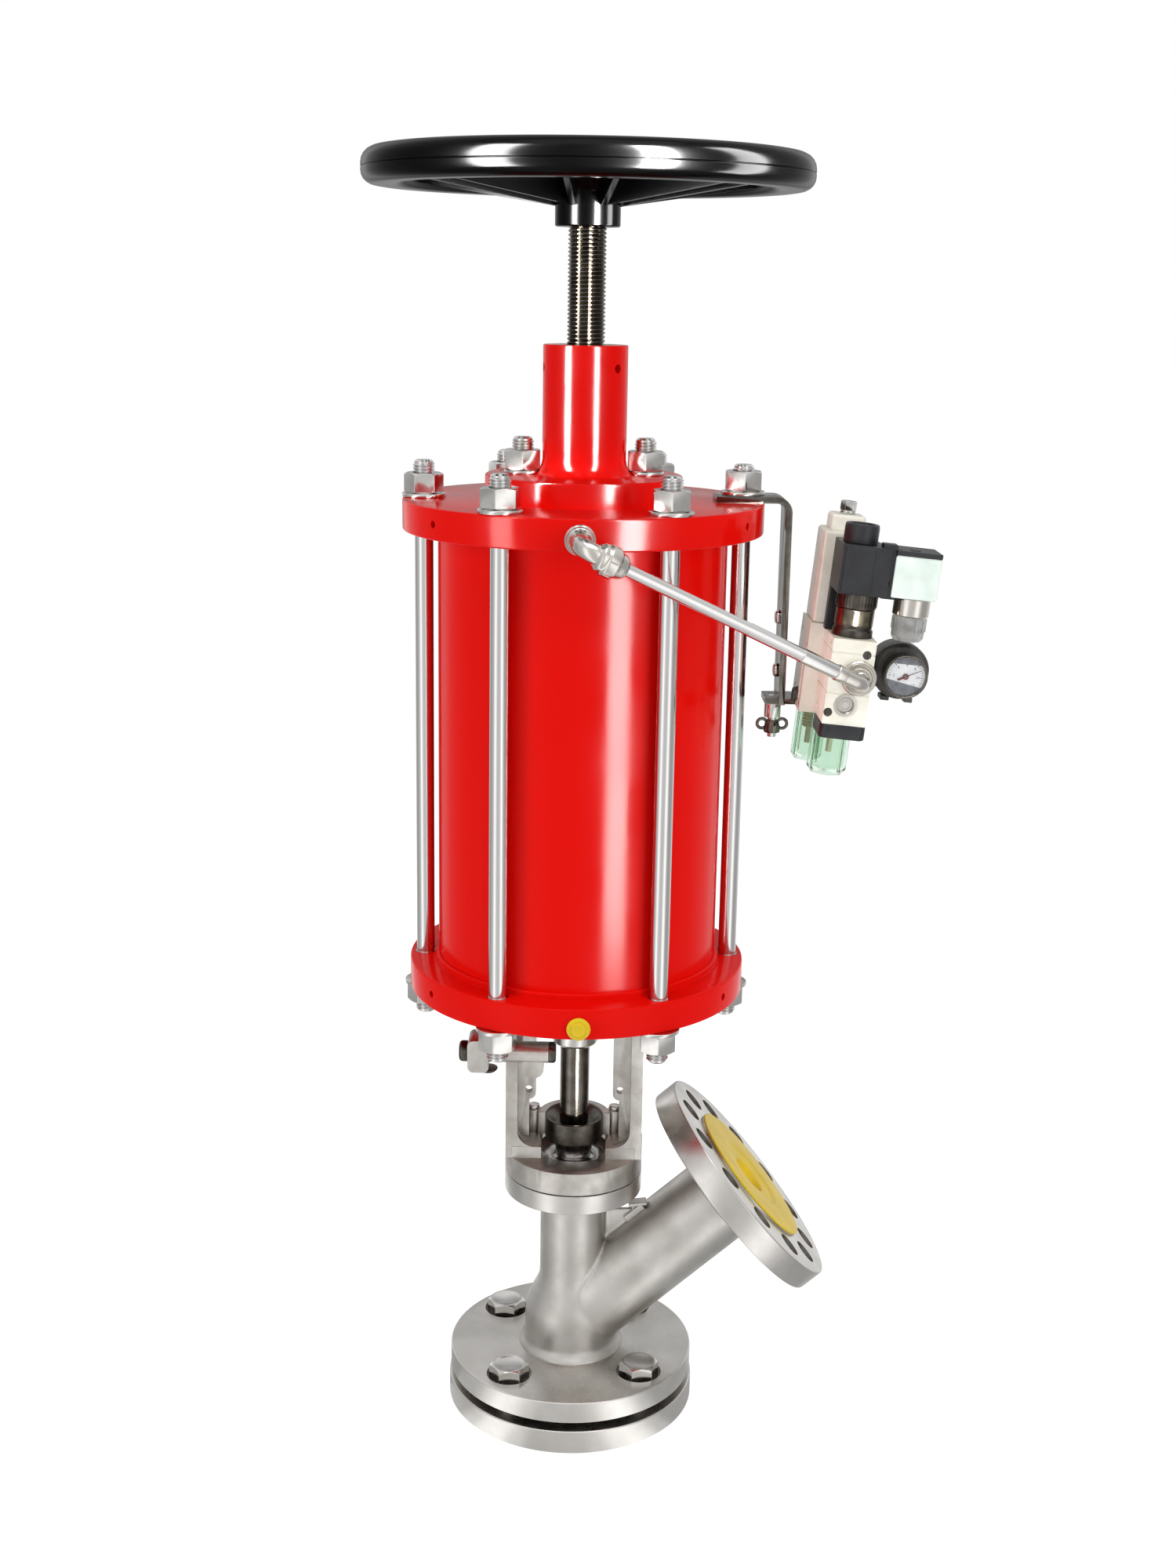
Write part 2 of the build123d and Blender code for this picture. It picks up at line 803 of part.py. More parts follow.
def gland_ears():
    places = []
    for angle in (gland_clamp_ear_angle, 180 - gland_clamp_ear_angle):
        x = gland_clamp_ear_radius * math.cos(math.radians(angle))
        y = gland_clamp_ear_radius * math.sin(math.radians(angle))
        places.append((x, y))
    return places


def gland_clamp():
    """A saddle behind the gland ring, standing on the yoke pads by two ears."""
    low_z = yoke_flange_top_z + yoke_foot_height
    inner = gland_ring_diameter + 2 * running_clearance
    outer = inner + 2 * gland_clamp_wall
    saddle = ring(outer, inner, gland_clamp_height, low_z)
    saddle -= block(2 * outer, outer, gland_clamp_height, 0, -outer / 2, low_z)
    for x, y in gland_ears():
        saddle += rod(gland_clamp_ear_diameter, gland_clamp_height, low_z, x, y)
    saddle -= rod(inner, gland_clamp_height, low_z)
    for x, y in gland_ears():
        saddle -= rod(gland_screw_diameter, gland_clamp_height, low_z, x, y)
    return Rot(0, 0, yoke_turn) * saddle


def gland_screws():
    screws = []
    top_z = yoke_flange_top_z + yoke_foot_height + gland_clamp_height
    reach = gland_clamp_height + yoke_foot_height
    for x, y in gland_ears():
        screw = rod(gland_screw_diameter, reach, top_z - reach, x, y)
        screw += rod(gland_screw_head_diameter, gland_screw_head_height, top_z, x, y)
        screws.append(Rot(0, 0, yoke_turn) * screw)
    return screws


# Yoke casting
def yoke_arm(side, low_z, high_z):
    """One T-shaped arm with a wider inner tab at its top."""
    height = high_z - low_z
    plate_depth = yoke_arm_outer_x - yoke_arm_inner_x
    plate_x = side * (yoke_arm_outer_x + yoke_arm_inner_x) / 2
    arm = block(plate_depth, yoke_arm_width, height, plate_x, 0, low_z)
    rib_depth = yoke_arm_inner_x - yoke_rib_inner_x
    rib_x = side * (yoke_rib_inner_x + rib_depth / 2)
    arm += block(rib_depth, yoke_rib_width, height, rib_x, 0, low_z)
    tab_depth = yoke_arm_inner_x - yoke_tab_inner_x
    tab_x = side * (yoke_tab_inner_x + tab_depth / 2)
    tab = block(tab_depth, yoke_tab_width, high_z - yoke_tab_end_z, tab_x, 0, yoke_tab_end_z)
    low_edges = tab.edges().filter_by(Axis.Y).group_by(Axis.Z)[0].sort_by(Axis.X)
    tab = fillet(low_edges[-1 if side < 0 else 0], tab_depth * 0.4)
    arm += tab
    hole_x = side * (yoke_tab_inner_x + yoke_tab_hole_diameter)
    hole_z = yoke_tab_end_z + 1.5 * yoke_tab_hole_diameter
    hole = Pos(hole_x, 0, hole_z) * Rot(90, 0, 0)
    return arm - hole * Cylinder(yoke_tab_hole_diameter / 2, 2 * yoke_rib_width)


def yoke_foot(side, low_z):
    """The half-moon pad under an arm and the two curved webs that flare into it."""
    pad = rod(bonnet_flange_diameter, yoke_foot_height, low_z)
    pad &= block(bonnet_flange_diameter, yoke_arm_width * 3, yoke_foot_height,
                 side * (yoke_foot_gap + bonnet_flange_diameter) / 2, 0, low_z)
    pad -= rod(yoke_pad_bore_diameter, yoke_foot_height, low_z)
    tips = pad.edges().filter_by(Axis.Z).group_by(Axis.X)[0 if side > 0 else -1]
    pad = fillet(tips, yoke_pad_tip)
    corner = yoke_foot_corner
    web_y = (yoke_arm_width - yoke_foot_web) / 2
    web = block(corner, yoke_foot_web, corner, -side * corner / 2, -web_y, 0)
    web += block(corner, yoke_foot_web, corner, -side * corner / 2, web_y, 0)
    web -= Pos(-side * corner, 0, corner) * Rot(90, 0, 0) * Cylinder(corner, 2 * yoke_arm_width)
    foot = pad + Pos(side * yoke_arm_inner_x, 0, low_z + yoke_foot_height) * web
    for x, y in gland_ears():
        foot -= rod(gland_screw_diameter, yoke_foot_height, low_z, x, y)
    return foot


def yoke():
    bottom_z = yoke_flange_bottom_z
    top_z = lower_head_bottom_z
    roof_z = top_z - yoke_top_flange_thickness
    casting = rod(bonnet_flange_diameter, yoke_flange_thickness, bottom_z)
    for side in (-1, 1):
        casting += yoke_arm(side, yoke_flange_top_z, roof_z)
        casting += yoke_foot(side, yoke_flange_top_z)
    casting += rod(yoke_top_flange_diameter, yoke_top_flange_thickness, roof_z)
    brow = rod(2 * yoke_arm_outer_x, roof_z - yoke_window_top_z, yoke_window_top_z)
    brow -= rod(2 * yoke_arm_inner_x, roof_z - yoke_window_top_z, yoke_window_top_z)
    brow &= block(2 * yoke_arm_outer_x, yoke_arm_width, roof_z - yoke_window_top_z, 0, 0, yoke_window_top_z)
    casting += brow
    casting -= rod(yoke_well_diameter, yoke_flange_thickness, bottom_z)
    casting -= rod(rod_bush_outer_diameter, yoke_top_flange_thickness, roof_z)
    return Rot(0, 0, yoke_turn) * casting


def clamp_bracket():
    length = clamp_right_x - clamp_left_x
    barrel = Pos(clamp_left_x, clamp_y, clamp_z) * Rot(0, 90, 0) * rod(clamp_barrel_diameter, length)
    body_x = clamp_left_x - clamp_block_width / 2 + clamp_block_overlap
    low_z = clamp_z - clamp_block_height / 2
    body = block(clamp_block_width, clamp_block_height, clamp_block_height, body_x, clamp_y, low_z)
    body = fillet(body.edges().filter_by(Axis.Y), clamp_block_rounding)
    lug_width = clamp_barrel_diameter
    lug_x = clamp_right_x - lug_width / 2 - clamp_lug_inset
    lug_z = clamp_z - clamp_lug_length
    lug = block(lug_width, clamp_lug_thickness, clamp_lug_length, lug_x, clamp_y, lug_z)
    lug = fillet(lug.edges().filter_by(Axis.Y).group_by(Axis.Z)[0], clamp_lug_rounding)
    reach = -clamp_y - yoke_arm_width / 2
    saddle_width = yoke_arm_outer_x - yoke_arm_inner_x + 2 * clamp_saddle_margin
    saddle_x = -(yoke_arm_outer_x + yoke_arm_inner_x) / 2
    saddle = block(saddle_width, reach, clamp_barrel_diameter, saddle_x, clamp_y + reach / 2,
                   clamp_z - clamp_barrel_diameter / 2)
    bracket = barrel + body + lug + saddle
    bore_start = clamp_left_x - clamp_block_width
    bore = rod(clamp_bolt_diameter, length + clamp_block_width)
    bracket -= Pos(bore_start, clamp_y, clamp_z) * Rot(0, 90, 0) * bore
    return Rot(0, 0, yoke_turn) * bracket


def clamp_bolts():
    start = clamp_left_x - clamp_block_width + clamp_block_overlap
    length = clamp_right_x - start
    bolt = rod(clamp_bolt_diameter, length)
    head = rod(clamp_bolt_head_diameter, clamp_bolt_head_height, -clamp_bolt_head_height)
    bolt += fillet(head.edges().group_by(Axis.Z)[0], clamp_bolt_head_rounding)
    nut = rod(clamp_bolt_head_diameter, clamp_bolt_nut_height, length)
    bolt += fillet(nut.edges().group_by(Axis.Z)[-1], clamp_bolt_nut_rounding)
    placed = Pos(start, clamp_y, clamp_z) * Rot(0, 90, 0) * bolt
    stud_length = clamp_stud_length - clamp_block_height / 2
    stud = Pos(clamp_stud_x, clamp_y, clamp_z - clamp_block_height / 2) * Rot(180, 0, 0)
    stud = stud * threaded_end(clamp_stud_diameter, stud_length, 0)
    return [Rot(0, 0, yoke_turn) * placed, Rot(0, 0, yoke_turn) * stud]


# Cylinder
def rod_places():
    return on_circle(tie_rod_circle, tie_rod_count, 0)


def rim_holes(diameter, z, angles):
    holes = []
    for angle in angles:
        place = Rot(0, 0, angle) * Pos(diameter / 2 - head_rim_hole_depth, 0, z) * Rot(0, 90, 0)
        holes.append(place * rod(head_rim_hole_diameter, head_rim_hole_depth))
    return holes


def port_bore(diameter, bore, z, x, depth):
    """A hole from the front of a head's rim, square to the XZ plane."""
    return Pos(x, -diameter / 2 + depth, z) * Rot(90, 0, 0) * rod(bore, depth)


def lower_head():
    head = rod(lower_head_diameter, lower_head_thickness, lower_head_bottom_z)
    head = chamfer(head.edges(), head_edge)
    lip_outer = tube_outer_diameter + 2 * running_clearance + 2 * tube_lip_width
    head += ring(lip_outer, tube_outer_diameter + 2 * running_clearance, tube_lip_height, lower_head_top_z)
    head -= ring(tube_outer_diameter + 2 * running_clearance, tube_inner_diameter - 2 * running_clearance,
                 tube_groove_depth, lower_head_top_z - tube_groove_depth)
    head -= rod(rod_bush_outer_diameter, lower_head_thickness, lower_head_bottom_z)
    for x, y in rod_places():
        head -= rod(tie_rod_end_diameter, lower_head_thickness, lower_head_bottom_z, x, y)
    middle_z = lower_head_bottom_z + lower_head_thickness / 2
    for hole in rim_holes(lower_head_diameter, middle_z, lower_rim_hole_angles):
        head -= hole
    port_z = lower_head_bottom_z + plug_head + plug_diameter / 4
    head -= port_bore(lower_head_diameter, plug_shank_diameter, port_z, 0, 2 * plug_shank_length)
    return head


def cylinder_tube():
    bottom_z = lower_head_top_z - tube_groove_depth + tube_gasket_thickness
    length = cylinder_length + 2 * (tube_groove_depth - tube_gasket_thickness)
    return ring(tube_outer_diameter, tube_inner_diameter, length, bottom_z)


def top_head():
    head = rod(top_head_diameter, top_head_thickness, top_head_bottom_z)
    head = chamfer(head.edges(), head_edge)
    head -= ring(tube_outer_diameter + 2 * running_clearance, tube_inner_diameter - 2 * running_clearance,
                 tube_groove_depth, top_head_bottom_z)
    head -= rod(spindle_plain_diameter + 4 * running_clearance, top_head_thickness, top_head_bottom_z)
    for x, y in rod_places():
        head -= rod(tie_rod_end_diameter, top_head_thickness, top_head_bottom_z, x, y)
    for x, y in on_circle(housing_stud_circle, housing_stud_count, 0):
        head -= rod(tie_rod_end_diameter, top_head_thickness, top_head_bottom_z, x, y)
    middle_z = top_head_bottom_z + top_head_thickness / 2
    for hole in rim_holes(top_head_diameter, middle_z, top_rim_hole_angles):
        head -= hole
    depth = 2 * line_neck_diameter
    head -= port_bore(top_head_diameter, line_neck_diameter, line_port_z, line_port_x, depth)
    return head


def cylinder_seals():
    """Flat gaskets at the floors of the grooves that hold the tube."""
    outer = tube_outer_diameter
    inner = tube_inner_diameter
    low_z = lower_head_top_z - tube_groove_depth
    high_z = top_head_bottom_z + tube_groove_depth - tube_gasket_thickness
    return [ring(outer, inner, tube_gasket_thickness, z) for z in (low_z, high_z)]


def tie_rods():
    rods = []
    end_length = washer_thickness + nut_height + thread_stand_out
    low_end_z = lower_head_bottom_z - end_length
    high_end_z = top_head_top_z + end_length
    for x, y in rod_places():
        bar = rod(tie_rod_diameter, top_head_bottom_z - lower_head_top_z, lower_head_top_z)
        lower = Pos(0, 0, lower_head_top_z) * Rot(180, 0, 0) * threaded_end(
            tie_rod_end_diameter, lower_head_top_z - low_end_z, 0)
        upper = threaded_end(tie_rod_end_diameter, high_end_z - top_head_bottom_z, top_head_bottom_z)
        rods.append(Pos(x, y, 0) * (bar + lower + upper))
    return rods


def strip_rise(index):
    """The nut on the right-hand rod also clamps the strip."""
    return strip_thickness if index == 0 else 0.0


def rod_washers():
    washers = []
    flat = ring(washer_diameter, tie_rod_end_diameter, washer_thickness)
    small_flat = ring(washer_diameter - 4.0, tie_rod_end_diameter, washer_thickness)
    for index, (x, y) in enumerate(rod_places()):
        washers.append(flat.moved(Location((x, y, top_head_top_z + strip_rise(index)))))
        washers.append(flat.moved(Location((x, y, lower_head_bottom_z - washer_thickness))))
    for x, y in on_circle(housing_stud_circle, housing_stud_count, 0):
        washers.append(small_flat.moved(Location((x, y, housing_flange_top_z))))
    return washers


def rod_nuts():
    nuts = []
    for index, (x, y) in enumerate(rod_places()):
        nut = hex_nut(nut_across_flats, nut_height, tie_rod_end_diameter, nut_turn + nut_turn_step * index)
        z = top_head_top_z + washer_thickness + strip_rise(index)
        nuts.append(Pos(x, y, z) * nut)
        nuts.append(Pos(x, y, lower_head_bottom_z - washer_thickness - nut_height) * nut)
    for x, y in on_circle(housing_stud_circle, housing_stud_count, 0):
        nut = hex_nut(nut_across_flats, nut_height, tie_rod_end_diameter, nut_turn)
        nuts.append(Pos(x, y, housing_flange_top_z + washer_thickness) * nut)
    return nuts


def rod_bush():
    """A hollow nut that guides the stem and clamps the yoke under the lower head."""
    top_z = lower_head_top_z
    bush = rod(rod_bush_outer_diameter, top_z - rod_bush_bottom_z, rod_bush_bottom_z)
    bush = chamfer(bush.edges().group_by(Axis.Z)[0], 2.0)
    flange_z = lower_head_bottom_z - yoke_top_flange_thickness - rod_bush_flange_thickness
    bush += rod(rod_bush_flange_diameter, rod_bush_flange_thickness, flange_z)
    bush -= rod(stem_diameter + 2 * running_clearance, top_z - rod_bush_bottom_z, rod_bush_bottom_z)
    return bush


# Moving plunger: piston, stem and disc
def piston():
    disc = rod(piston_diameter, piston_thickness, piston_bottom_z)
    disc = chamfer(disc.edges(), head_edge)
    groove_z = piston_bottom_z + piston_thickness / 2 - piston_seal_height / 2
    groove_floor = piston_diameter - 2 * piston_groove_depth
    disc -= ring(piston_diameter + 2.0, groove_floor, piston_seal_height, groove_z)
    disc -= rod(piston_thread_diameter, piston_thickness, piston_bottom_z)
    return disc


def piston_seal():
    groove_z = piston_bottom_z + piston_thickness / 2 - piston_seal_height / 2
    outer = tube_inner_diameter - 4 * running_clearance
    return ring(outer, piston_diameter - 2 * piston_groove_depth, piston_seal_height, groove_z)


def piston_nut():
    nut = hex_nut(piston_nut_across_flats, piston_nut_height, piston_thread_diameter, 0)
    return Pos(0, 0, piston_top_z) * nut


def stem():
    shaft = rod(stem_diameter, piston_bottom_z - disc_top_z, disc_top_z)
    outer = stem_diameter + 2 * stem_mark_depth
    mark = ring(outer, stem_diameter - 2 * stem_mark_depth, stem_mark_width, stem_mark_z)
    shaft -= mark
    shaft += threaded_end(piston_thread_diameter, stem_top_z - piston_bottom_z, piston_bottom_z)
    shaft += rod(stem_spigot_diameter, stem_spigot_length, disc_top_z - stem_spigot_length)
    return shaft


def valve_disc():
    top_radius = inlet_bore_diameter / 2 + seat_angle_depth - seat_gap
    low_radius = inlet_bore_diameter / 2 - seat_gap
    disc = turned([
        (0, disc_bottom_z),
        (low_radius, disc_bottom_z),
        (top_radius, seat_face_z),
        (top_radius, seat_face_z + flange_gasket_thickness),
        (stem_diameter / 2 + disc_hub_overhang, disc_top_z),
        (0, disc_top_z),
    ])
    disc -= rod(stem_spigot_diameter, stem_spigot_length, disc_top_z - stem_spigot_length)
    return disc


# Override housing, spindle nut, spindle, pad and handwheel
def override_housing():
    tube_length = housing_top_z - housing_flange_top_z
    housing = rod(housing_flange_diameter, housing_flange_thickness, top_head_top_z)
    housing = chamfer(housing.edges().group_by(Axis.Z)[-1], head_edge)
    housing += rod(housing_tube_diameter, tube_length, housing_flange_top_z)
    fillet_start = housing_foot_diameter / 2 - housing_tube_diameter / 2
    housing += turned([
        (0, housing_flange_top_z),
        (housing_foot_diameter / 2, housing_flange_top_z),
        (housing_foot_diameter / 2 - fillet_start * 0.25, housing_flange_top_z + housing_foot_height * 0.4),
        (housing_tube_diameter / 2, housing_flange_top_z + housing_foot_height),
        (0, housing_flange_top_z + housing_foot_height),
    ])
    housing -= rod(housing_tube_bore, housing_top_z - top_head_top_z, top_head_top_z)
    for x, y in on_circle(housing_stud_circle, housing_stud_count, 0):
        nut_room = rod(washer_diameter - 2.0, housing_foot_height * 2, housing_flange_top_z, x, y)
        housing -= nut_room
        housing -= rod(tie_rod_end_diameter, housing_flange_thickness, top_head_top_z, x, y)
    for angle in housing_grub_angles:
        place = Rot(0, 0, angle) * Pos(0, 0, housing_grub_hole_z) * Rot(0, 90, 0)
        housing -= place * rod(housing_grub_hole_diameter, housing_tube_diameter)
    return housing


def housing_studs():
    studs = []
    length = housing_flange_top_z + washer_thickness + nut_height + thread_stand_out - top_head_bottom_z
    for x, y in on_circle(housing_stud_circle, housing_stud_count, 0):
        studs.append(Pos(x, y, 0) * threaded_end(tie_rod_end_diameter, length, top_head_bottom_z))
    return studs


def spindle_nut():
    bottom_z = housing_top_z - spindle_nut_length
    return ring(housing_tube_bore - 2 * running_clearance, spindle_diameter + 2 * running_clearance,
                spindle_nut_length, bottom_z)


def spindle():
    neck_z = thrust_pad_top_z - spindle_end_length
    shaft = rod(spindle_end_diameter, spindle_end_length, neck_z)
    shaft += rod(spindle_plain_diameter, spindle_thread_start_z - thrust_pad_top_z, thrust_pad_top_z)
    shaft += rod(spindle_diameter, wheel_hub_bottom_z - spindle_thread_start_z, spindle_thread_start_z)
    shaft += rod(wheel_end_diameter, wheel_nut_top_z + 3.0 - wheel_hub_bottom_z, wheel_hub_bottom_z)
    return shaft


def thrust_pad():
    pad = rod(thrust_pad_diameter, thrust_pad_thickness, thrust_pad_bottom_z)
    pad = chamfer(pad.edges().group_by(Axis.Z)[0], 2.0)
    bore_z = thrust_pad_top_z - spindle_end_length - 2 * running_clearance
    pad -= rod(spindle_end_diameter + 2 * running_clearance, thrust_pad_thickness, bore_z)
    return pad


def wheel_rim():
    radius = wheel_diameter / 2
    low_z = wheel_parting_z - wheel_rim_below
    high_z = wheel_parting_z + wheel_rim_above
    section = Pos(radius - wheel_rim_width / 2, (low_z + high_z) / 2) * RectangleRounded(
        wheel_rim_width, high_z - low_z, wheel_rim_corner)
    return revolve(Plane.XZ * section, Axis.Z)


def wheel_spoke():
    """One arm: a widening plate with a rib below each edge, from hub to rim."""
    hub_x = wheel_hub_diameter / 2 - wheel_spoke_thickness
    rim_x = wheel_diameter / 2 - wheel_rim_width + wheel_spoke_thickness / 2
    plate = Polyline(
        (hub_x, -wheel_spoke_width_hub / 2),
        (rim_x, -wheel_spoke_width_rim / 2),
        (rim_x, wheel_spoke_width_rim / 2),
        (hub_x, wheel_spoke_width_hub / 2),
        close=True,
    )
    top = wheel_hub_top_z - wheel_spoke_thickness
    arm = extrude(Plane.XY.offset(top) * make_face(plate.edges()), wheel_spoke_thickness)
    rib_outline = Polyline(
        (hub_x, top - wheel_rib_hub_depth),
        (rim_x, top - wheel_rib_depth),
        (rim_x, top + wheel_spoke_thickness / 2),
        (hub_x, top + wheel_spoke_thickness / 2),
        close=True,
    )
    rib = extrude(Plane.XZ * make_face(rib_outline.edges()), wheel_rib_thickness / 2, both=True)
    spread = math.degrees(math.atan2((wheel_spoke_width_rim - wheel_spoke_width_hub) / 2, rim_x - hub_x))
    for side in (-1, 1):
        place = Pos(hub_x, side * (wheel_spoke_width_hub - wheel_rib_thickness) / 2, 0)
        arm += place * Rot(0, 0, side * spread) * Pos(-hub_x, 0, 0) * rib
    return arm


def handwheel():
    wheel = wheel_rim()
    wheel += rod(wheel_hub_diameter, wheel_hub_top_z - wheel_hub_bottom_z, wheel_hub_bottom_z)
    cone_z = wheel_hub_top_z - 2 * wheel_spoke_thickness
    wheel += turned([
        (0, cone_z - wheel_spoke_thickness),
        (wheel_hub_diameter / 2, cone_z - wheel_spoke_thickness),
        (wheel_cone_diameter / 2, wheel_hub_top_z - wheel_spoke_thickness),
        (wheel_cone_diameter / 2, wheel_hub_top_z),
        (0, wheel_hub_top_z),
    ])
    for index in range(wheel_spoke_count):
        wheel += Rot(0, 0, 360.0 * index / wheel_spoke_count + 30) * wheel_spoke()
    wheel -= rod(wheel_end_diameter, wheel_hub_top_z - wheel_hub_bottom_z, wheel_hub_bottom_z)
    return wheel


def wheel_nut():
    nut = hex_nut(wheel_nut_across_flats, wheel_nut_height, wheel_end_diameter)
    return Pos(0, 0, wheel_hub_top_z) * nut


# Bent strip, its blanking screws and the wing bolt below it
def mounting_strip():
    top_z = top_head_top_z + strip_thickness
    middle_x = strip_outer_x - strip_thickness / 2
    path = FilletPolyline(
        (strip_inner_x, 0, top_z - strip_thickness / 2),
        (middle_x, 0, top_z - strip_thickness / 2),
        (middle_x, 0, strip_foot_z),
        radius=strip_bend_radius,
    )
    section = Plane(path @ 0, z_dir=path % 0) * Rectangle(strip_thickness, strip_width)
    strip = sweep(section, path)
    foot_right_x = foot_contact_x()
    strip += block(foot_right_x - strip_foot_left_x, strip_foot_width, strip_thickness,
                   (foot_right_x + strip_foot_left_x) / 2, 0, strip_foot_z)
    strip -= rod(tie_rod_end_diameter, strip_thickness, top_head_top_z, tie_rod_circle / 2, 0)
    for rise in strip_screw_rises:
        place = Pos(strip_outer_x - 2 * strip_thickness, 0, strip_foot_z + rise) * Rot(0, 90, 0)
        strip -= place * rod(strip_screw_diameter, 3 * strip_thickness)
    strip -= rod(wing_bolt_diameter, strip_thickness, strip_foot_z, wing_bolt_x, 0)
    return strip


def strip_screws():
    screws = []
    for rise in strip_screw_rises:
        head_x = strip_outer_x - strip_thickness - strip_screw_head_height
        place = Pos(head_x, 0, strip_foot_z + rise) * Rot(0, 90, 0)
        head = rod(strip_screw_head_diameter, strip_screw_head_height)
        head = fillet(head.edges().group_by(Axis.Z)[0], strip_screw_head_height * 0.6)
        shank = rod(strip_screw_diameter, strip_thickness + strip_screw_head_height)
        screws.append(place * (head + shank))
    return screws


def wing_bolt():
    """A stud hanging from the foot of the strip, with a sleeve above the wing nut."""
    top_z = strip_foot_z + strip_thickness
    bolt = rod(wing_bolt_diameter, top_z - wing_bolt_end_z, wing_bolt_end_z, wing_bolt_x, 0)
    sleeve_z = wing_nut_z + wing_nut_height + seat_gap
    return bolt + rod(wing_nut_hub, strip_foot_z - sleeve_z, sleeve_z, wing_bolt_x, 0)


def wing_nut():
    nut = rod(wing_nut_hub, wing_nut_body_height)
    for side in (-1, 1):
        wing_x = side * wing_nut_span / 4
        low_z = wing_nut_height - wing_nut_body_height
        wing = block(wing_nut_span / 2, wing_nut_wing_thickness, wing_nut_body_height, wing_x, 0, low_z)
        outer_edges = wing.edges().filter_by(Axis.Y).sort_by(Axis.X)
        wing = fillet(outer_edges[-2:] if side > 0 else outer_edges[:2], wing_nut_rounding)
        nut += wing
    nut -= rod(wing_bolt_diameter + 2 * running_clearance, wing_nut_height)
    return Pos(wing_bolt_x, 0, wing_nut_z) * nut


# Air set parts, drawn in the tilted frame of the valve block's front face
air_frame = Pos(air_x, air_front_y, air_z) * Rot(0, air_tilt, 0)


def air_box(width, depth, height, x, y, z):
    """A box given by its centre in X, its front face in Y and its bottom in Z."""
    return Pos(x, y + depth / 2, z) * Box(width, depth, height, align=bottom_up)


def foot_contact_x():
    """Where the regulator's left face meets the foot of the strip."""
    tilt = math.radians(air_tilt)
    rise = strip_foot_z - air_z
    return air_x + regulator_left_x / math.cos(tilt) + rise * math.tan(tilt) - seat_gap / 2


def valve_block():
    body = air_box(block_width, block_depth, block_height, 0, 0, -block_height / 2)
    body = chamfer(body.edges().filter_by(Axis.Z), 1.0)
    for x, z in ((upper_port_x, upper_port_z), (lower_port_x, lower_port_z)):
        body -= Pos(x, 0, z) * Rot(-90, 0, 0) * rod(block_port_diameter, block_port_depth)
    return air_frame * body


def block_end_cap():
    cap = air_box(end_cap_width, end_cap_depth, end_cap_height, 0, -1.0, -block_height / 2 - end_cap_height)
    cap = fillet(cap.edges().filter_by(Axis.Z), end_cap_rounding)
    return air_frame * cap


def armature_tube():
    z = block_height / 2
    tube = rod(armature_ring_diameter, armature_base_height, z, 0, block_axis_y)
    z += armature_base_height
    tube += rod(armature_diameter, armature_band_height, z, 0, block_axis_y)
    z += armature_band_height
    tube += rod(armature_ring_diameter, armature_ring_height, z, 0, block_axis_y)
    z += armature_ring_height
    tube += rod(armature_diameter / 2, coil_height + coil_nut_height / 2, z, 0, block_axis_y)
    return air_frame * tube


def coil_bottom():
    return block_height / 2 + armature_base_height + armature_band_height + armature_ring_height


def coil():
    body = air_box(coil_width, coil_depth, coil_height, 0, coil_front, coil_bottom())
    body = fillet(body.edges().filter_by(Axis.Z), 2.0)
    back_z = block_height / 2
    back_x = (coil_back_reach - coil_width) / 2
    body += air_box(coil_back_reach, coil_back_plate, coil_bottom() + coil_height - back_z, back_x,
                    coil_front + coil_depth, back_z)
    bridge_width = connector_gap + coil_bridge_overlap
    bridge_x = coil_width / 2 + connector_gap - bridge_width / 2
    body += air_box(bridge_width, coil_bridge_depth, coil_bridge_height, bridge_x,
                    coil_front + coil_bridge_inset, coil_bottom() + coil_bridge_rise)
    body -= rod(armature_diameter / 2 + 2 * running_clearance, coil_height, coil_bottom(), 0, block_axis_y)
    return air_frame * body


def coil_nut():
    z = coil_bottom() + coil_height
    x = coil_nut_shift
    nut = rod(coil_nut_diameter, coil_nut_height, z, x, block_axis_y)
    nut = chamfer(nut.edges().group_by(Axis.Z)[-1], coil_nut_chamfer)
    nut -= rod(armature_diameter / 2 + 2 * running_clearance, coil_nut_height / 2 + 1.0, z, 0, block_axis_y)
    hollow_z = z + coil_nut_height - coil_nut_hollow_depth
    nut -= rod(coil_nut_hollow_diameter, coil_nut_hollow_depth, hollow_z, x, block_axis_y)
    return air_frame * nut


def connector_x():
    return coil_width / 2 + connector_gap + connector_width / 2


def connector():
    bottom = coil_bottom() + 1.0
    body = air_box(connector_width, connector_depth, connector_height, connector_x(), coil_front, bottom)
    body = fillet(body.edges().filter_by(Axis.Y), connector_rounding)
    return air_frame * body


def cable_gland():
    z = coil_bottom() + 1.0 - cable_gland_height
    x = connector_x() + cable_gland_shift
    y = coil_front + connector_depth / 2
    cup_height = cable_gland_height - cable_gland_collar_height
    gland = rod(cable_gland_diameter, cable_gland_collar_height, z + cup_height, x, y)
    gland += rod(cable_gland_cup_diameter, cup_height, z, x, y)
    gland -= rod(cable_gland_bore, cable_gland_bore_depth, z, x, y)
    return air_frame * gland


def regulator_x():
    return regulator_left_x + regulator_body_width / 2


def regulator_body():
    height = regulator_body_top - regulator_body_bottom
    bottom = regulator_body_bottom
    body = air_box(regulator_body_width, regulator_body_depth, height, regulator_x(), block_depth, bottom)
    body = fillet(body.edges().filter_by(Axis.Z), 3.0)
    for x, y, diameter in bowl_places():
        body += rod(diameter - 2 * bowl_wall, bowl_collar_height, bottom - bowl_collar_height, x, y)
    right_x = regulator_left_x + regulator_body_width
    body += air_box(gauge_x - right_x, gauge_link_height, gauge_link_height, (gauge_x + right_x) / 2,
                    block_depth + 2.0, gauge_z - gauge_link_height / 2)
    body -= gauge_seat()
    return air_frame * body


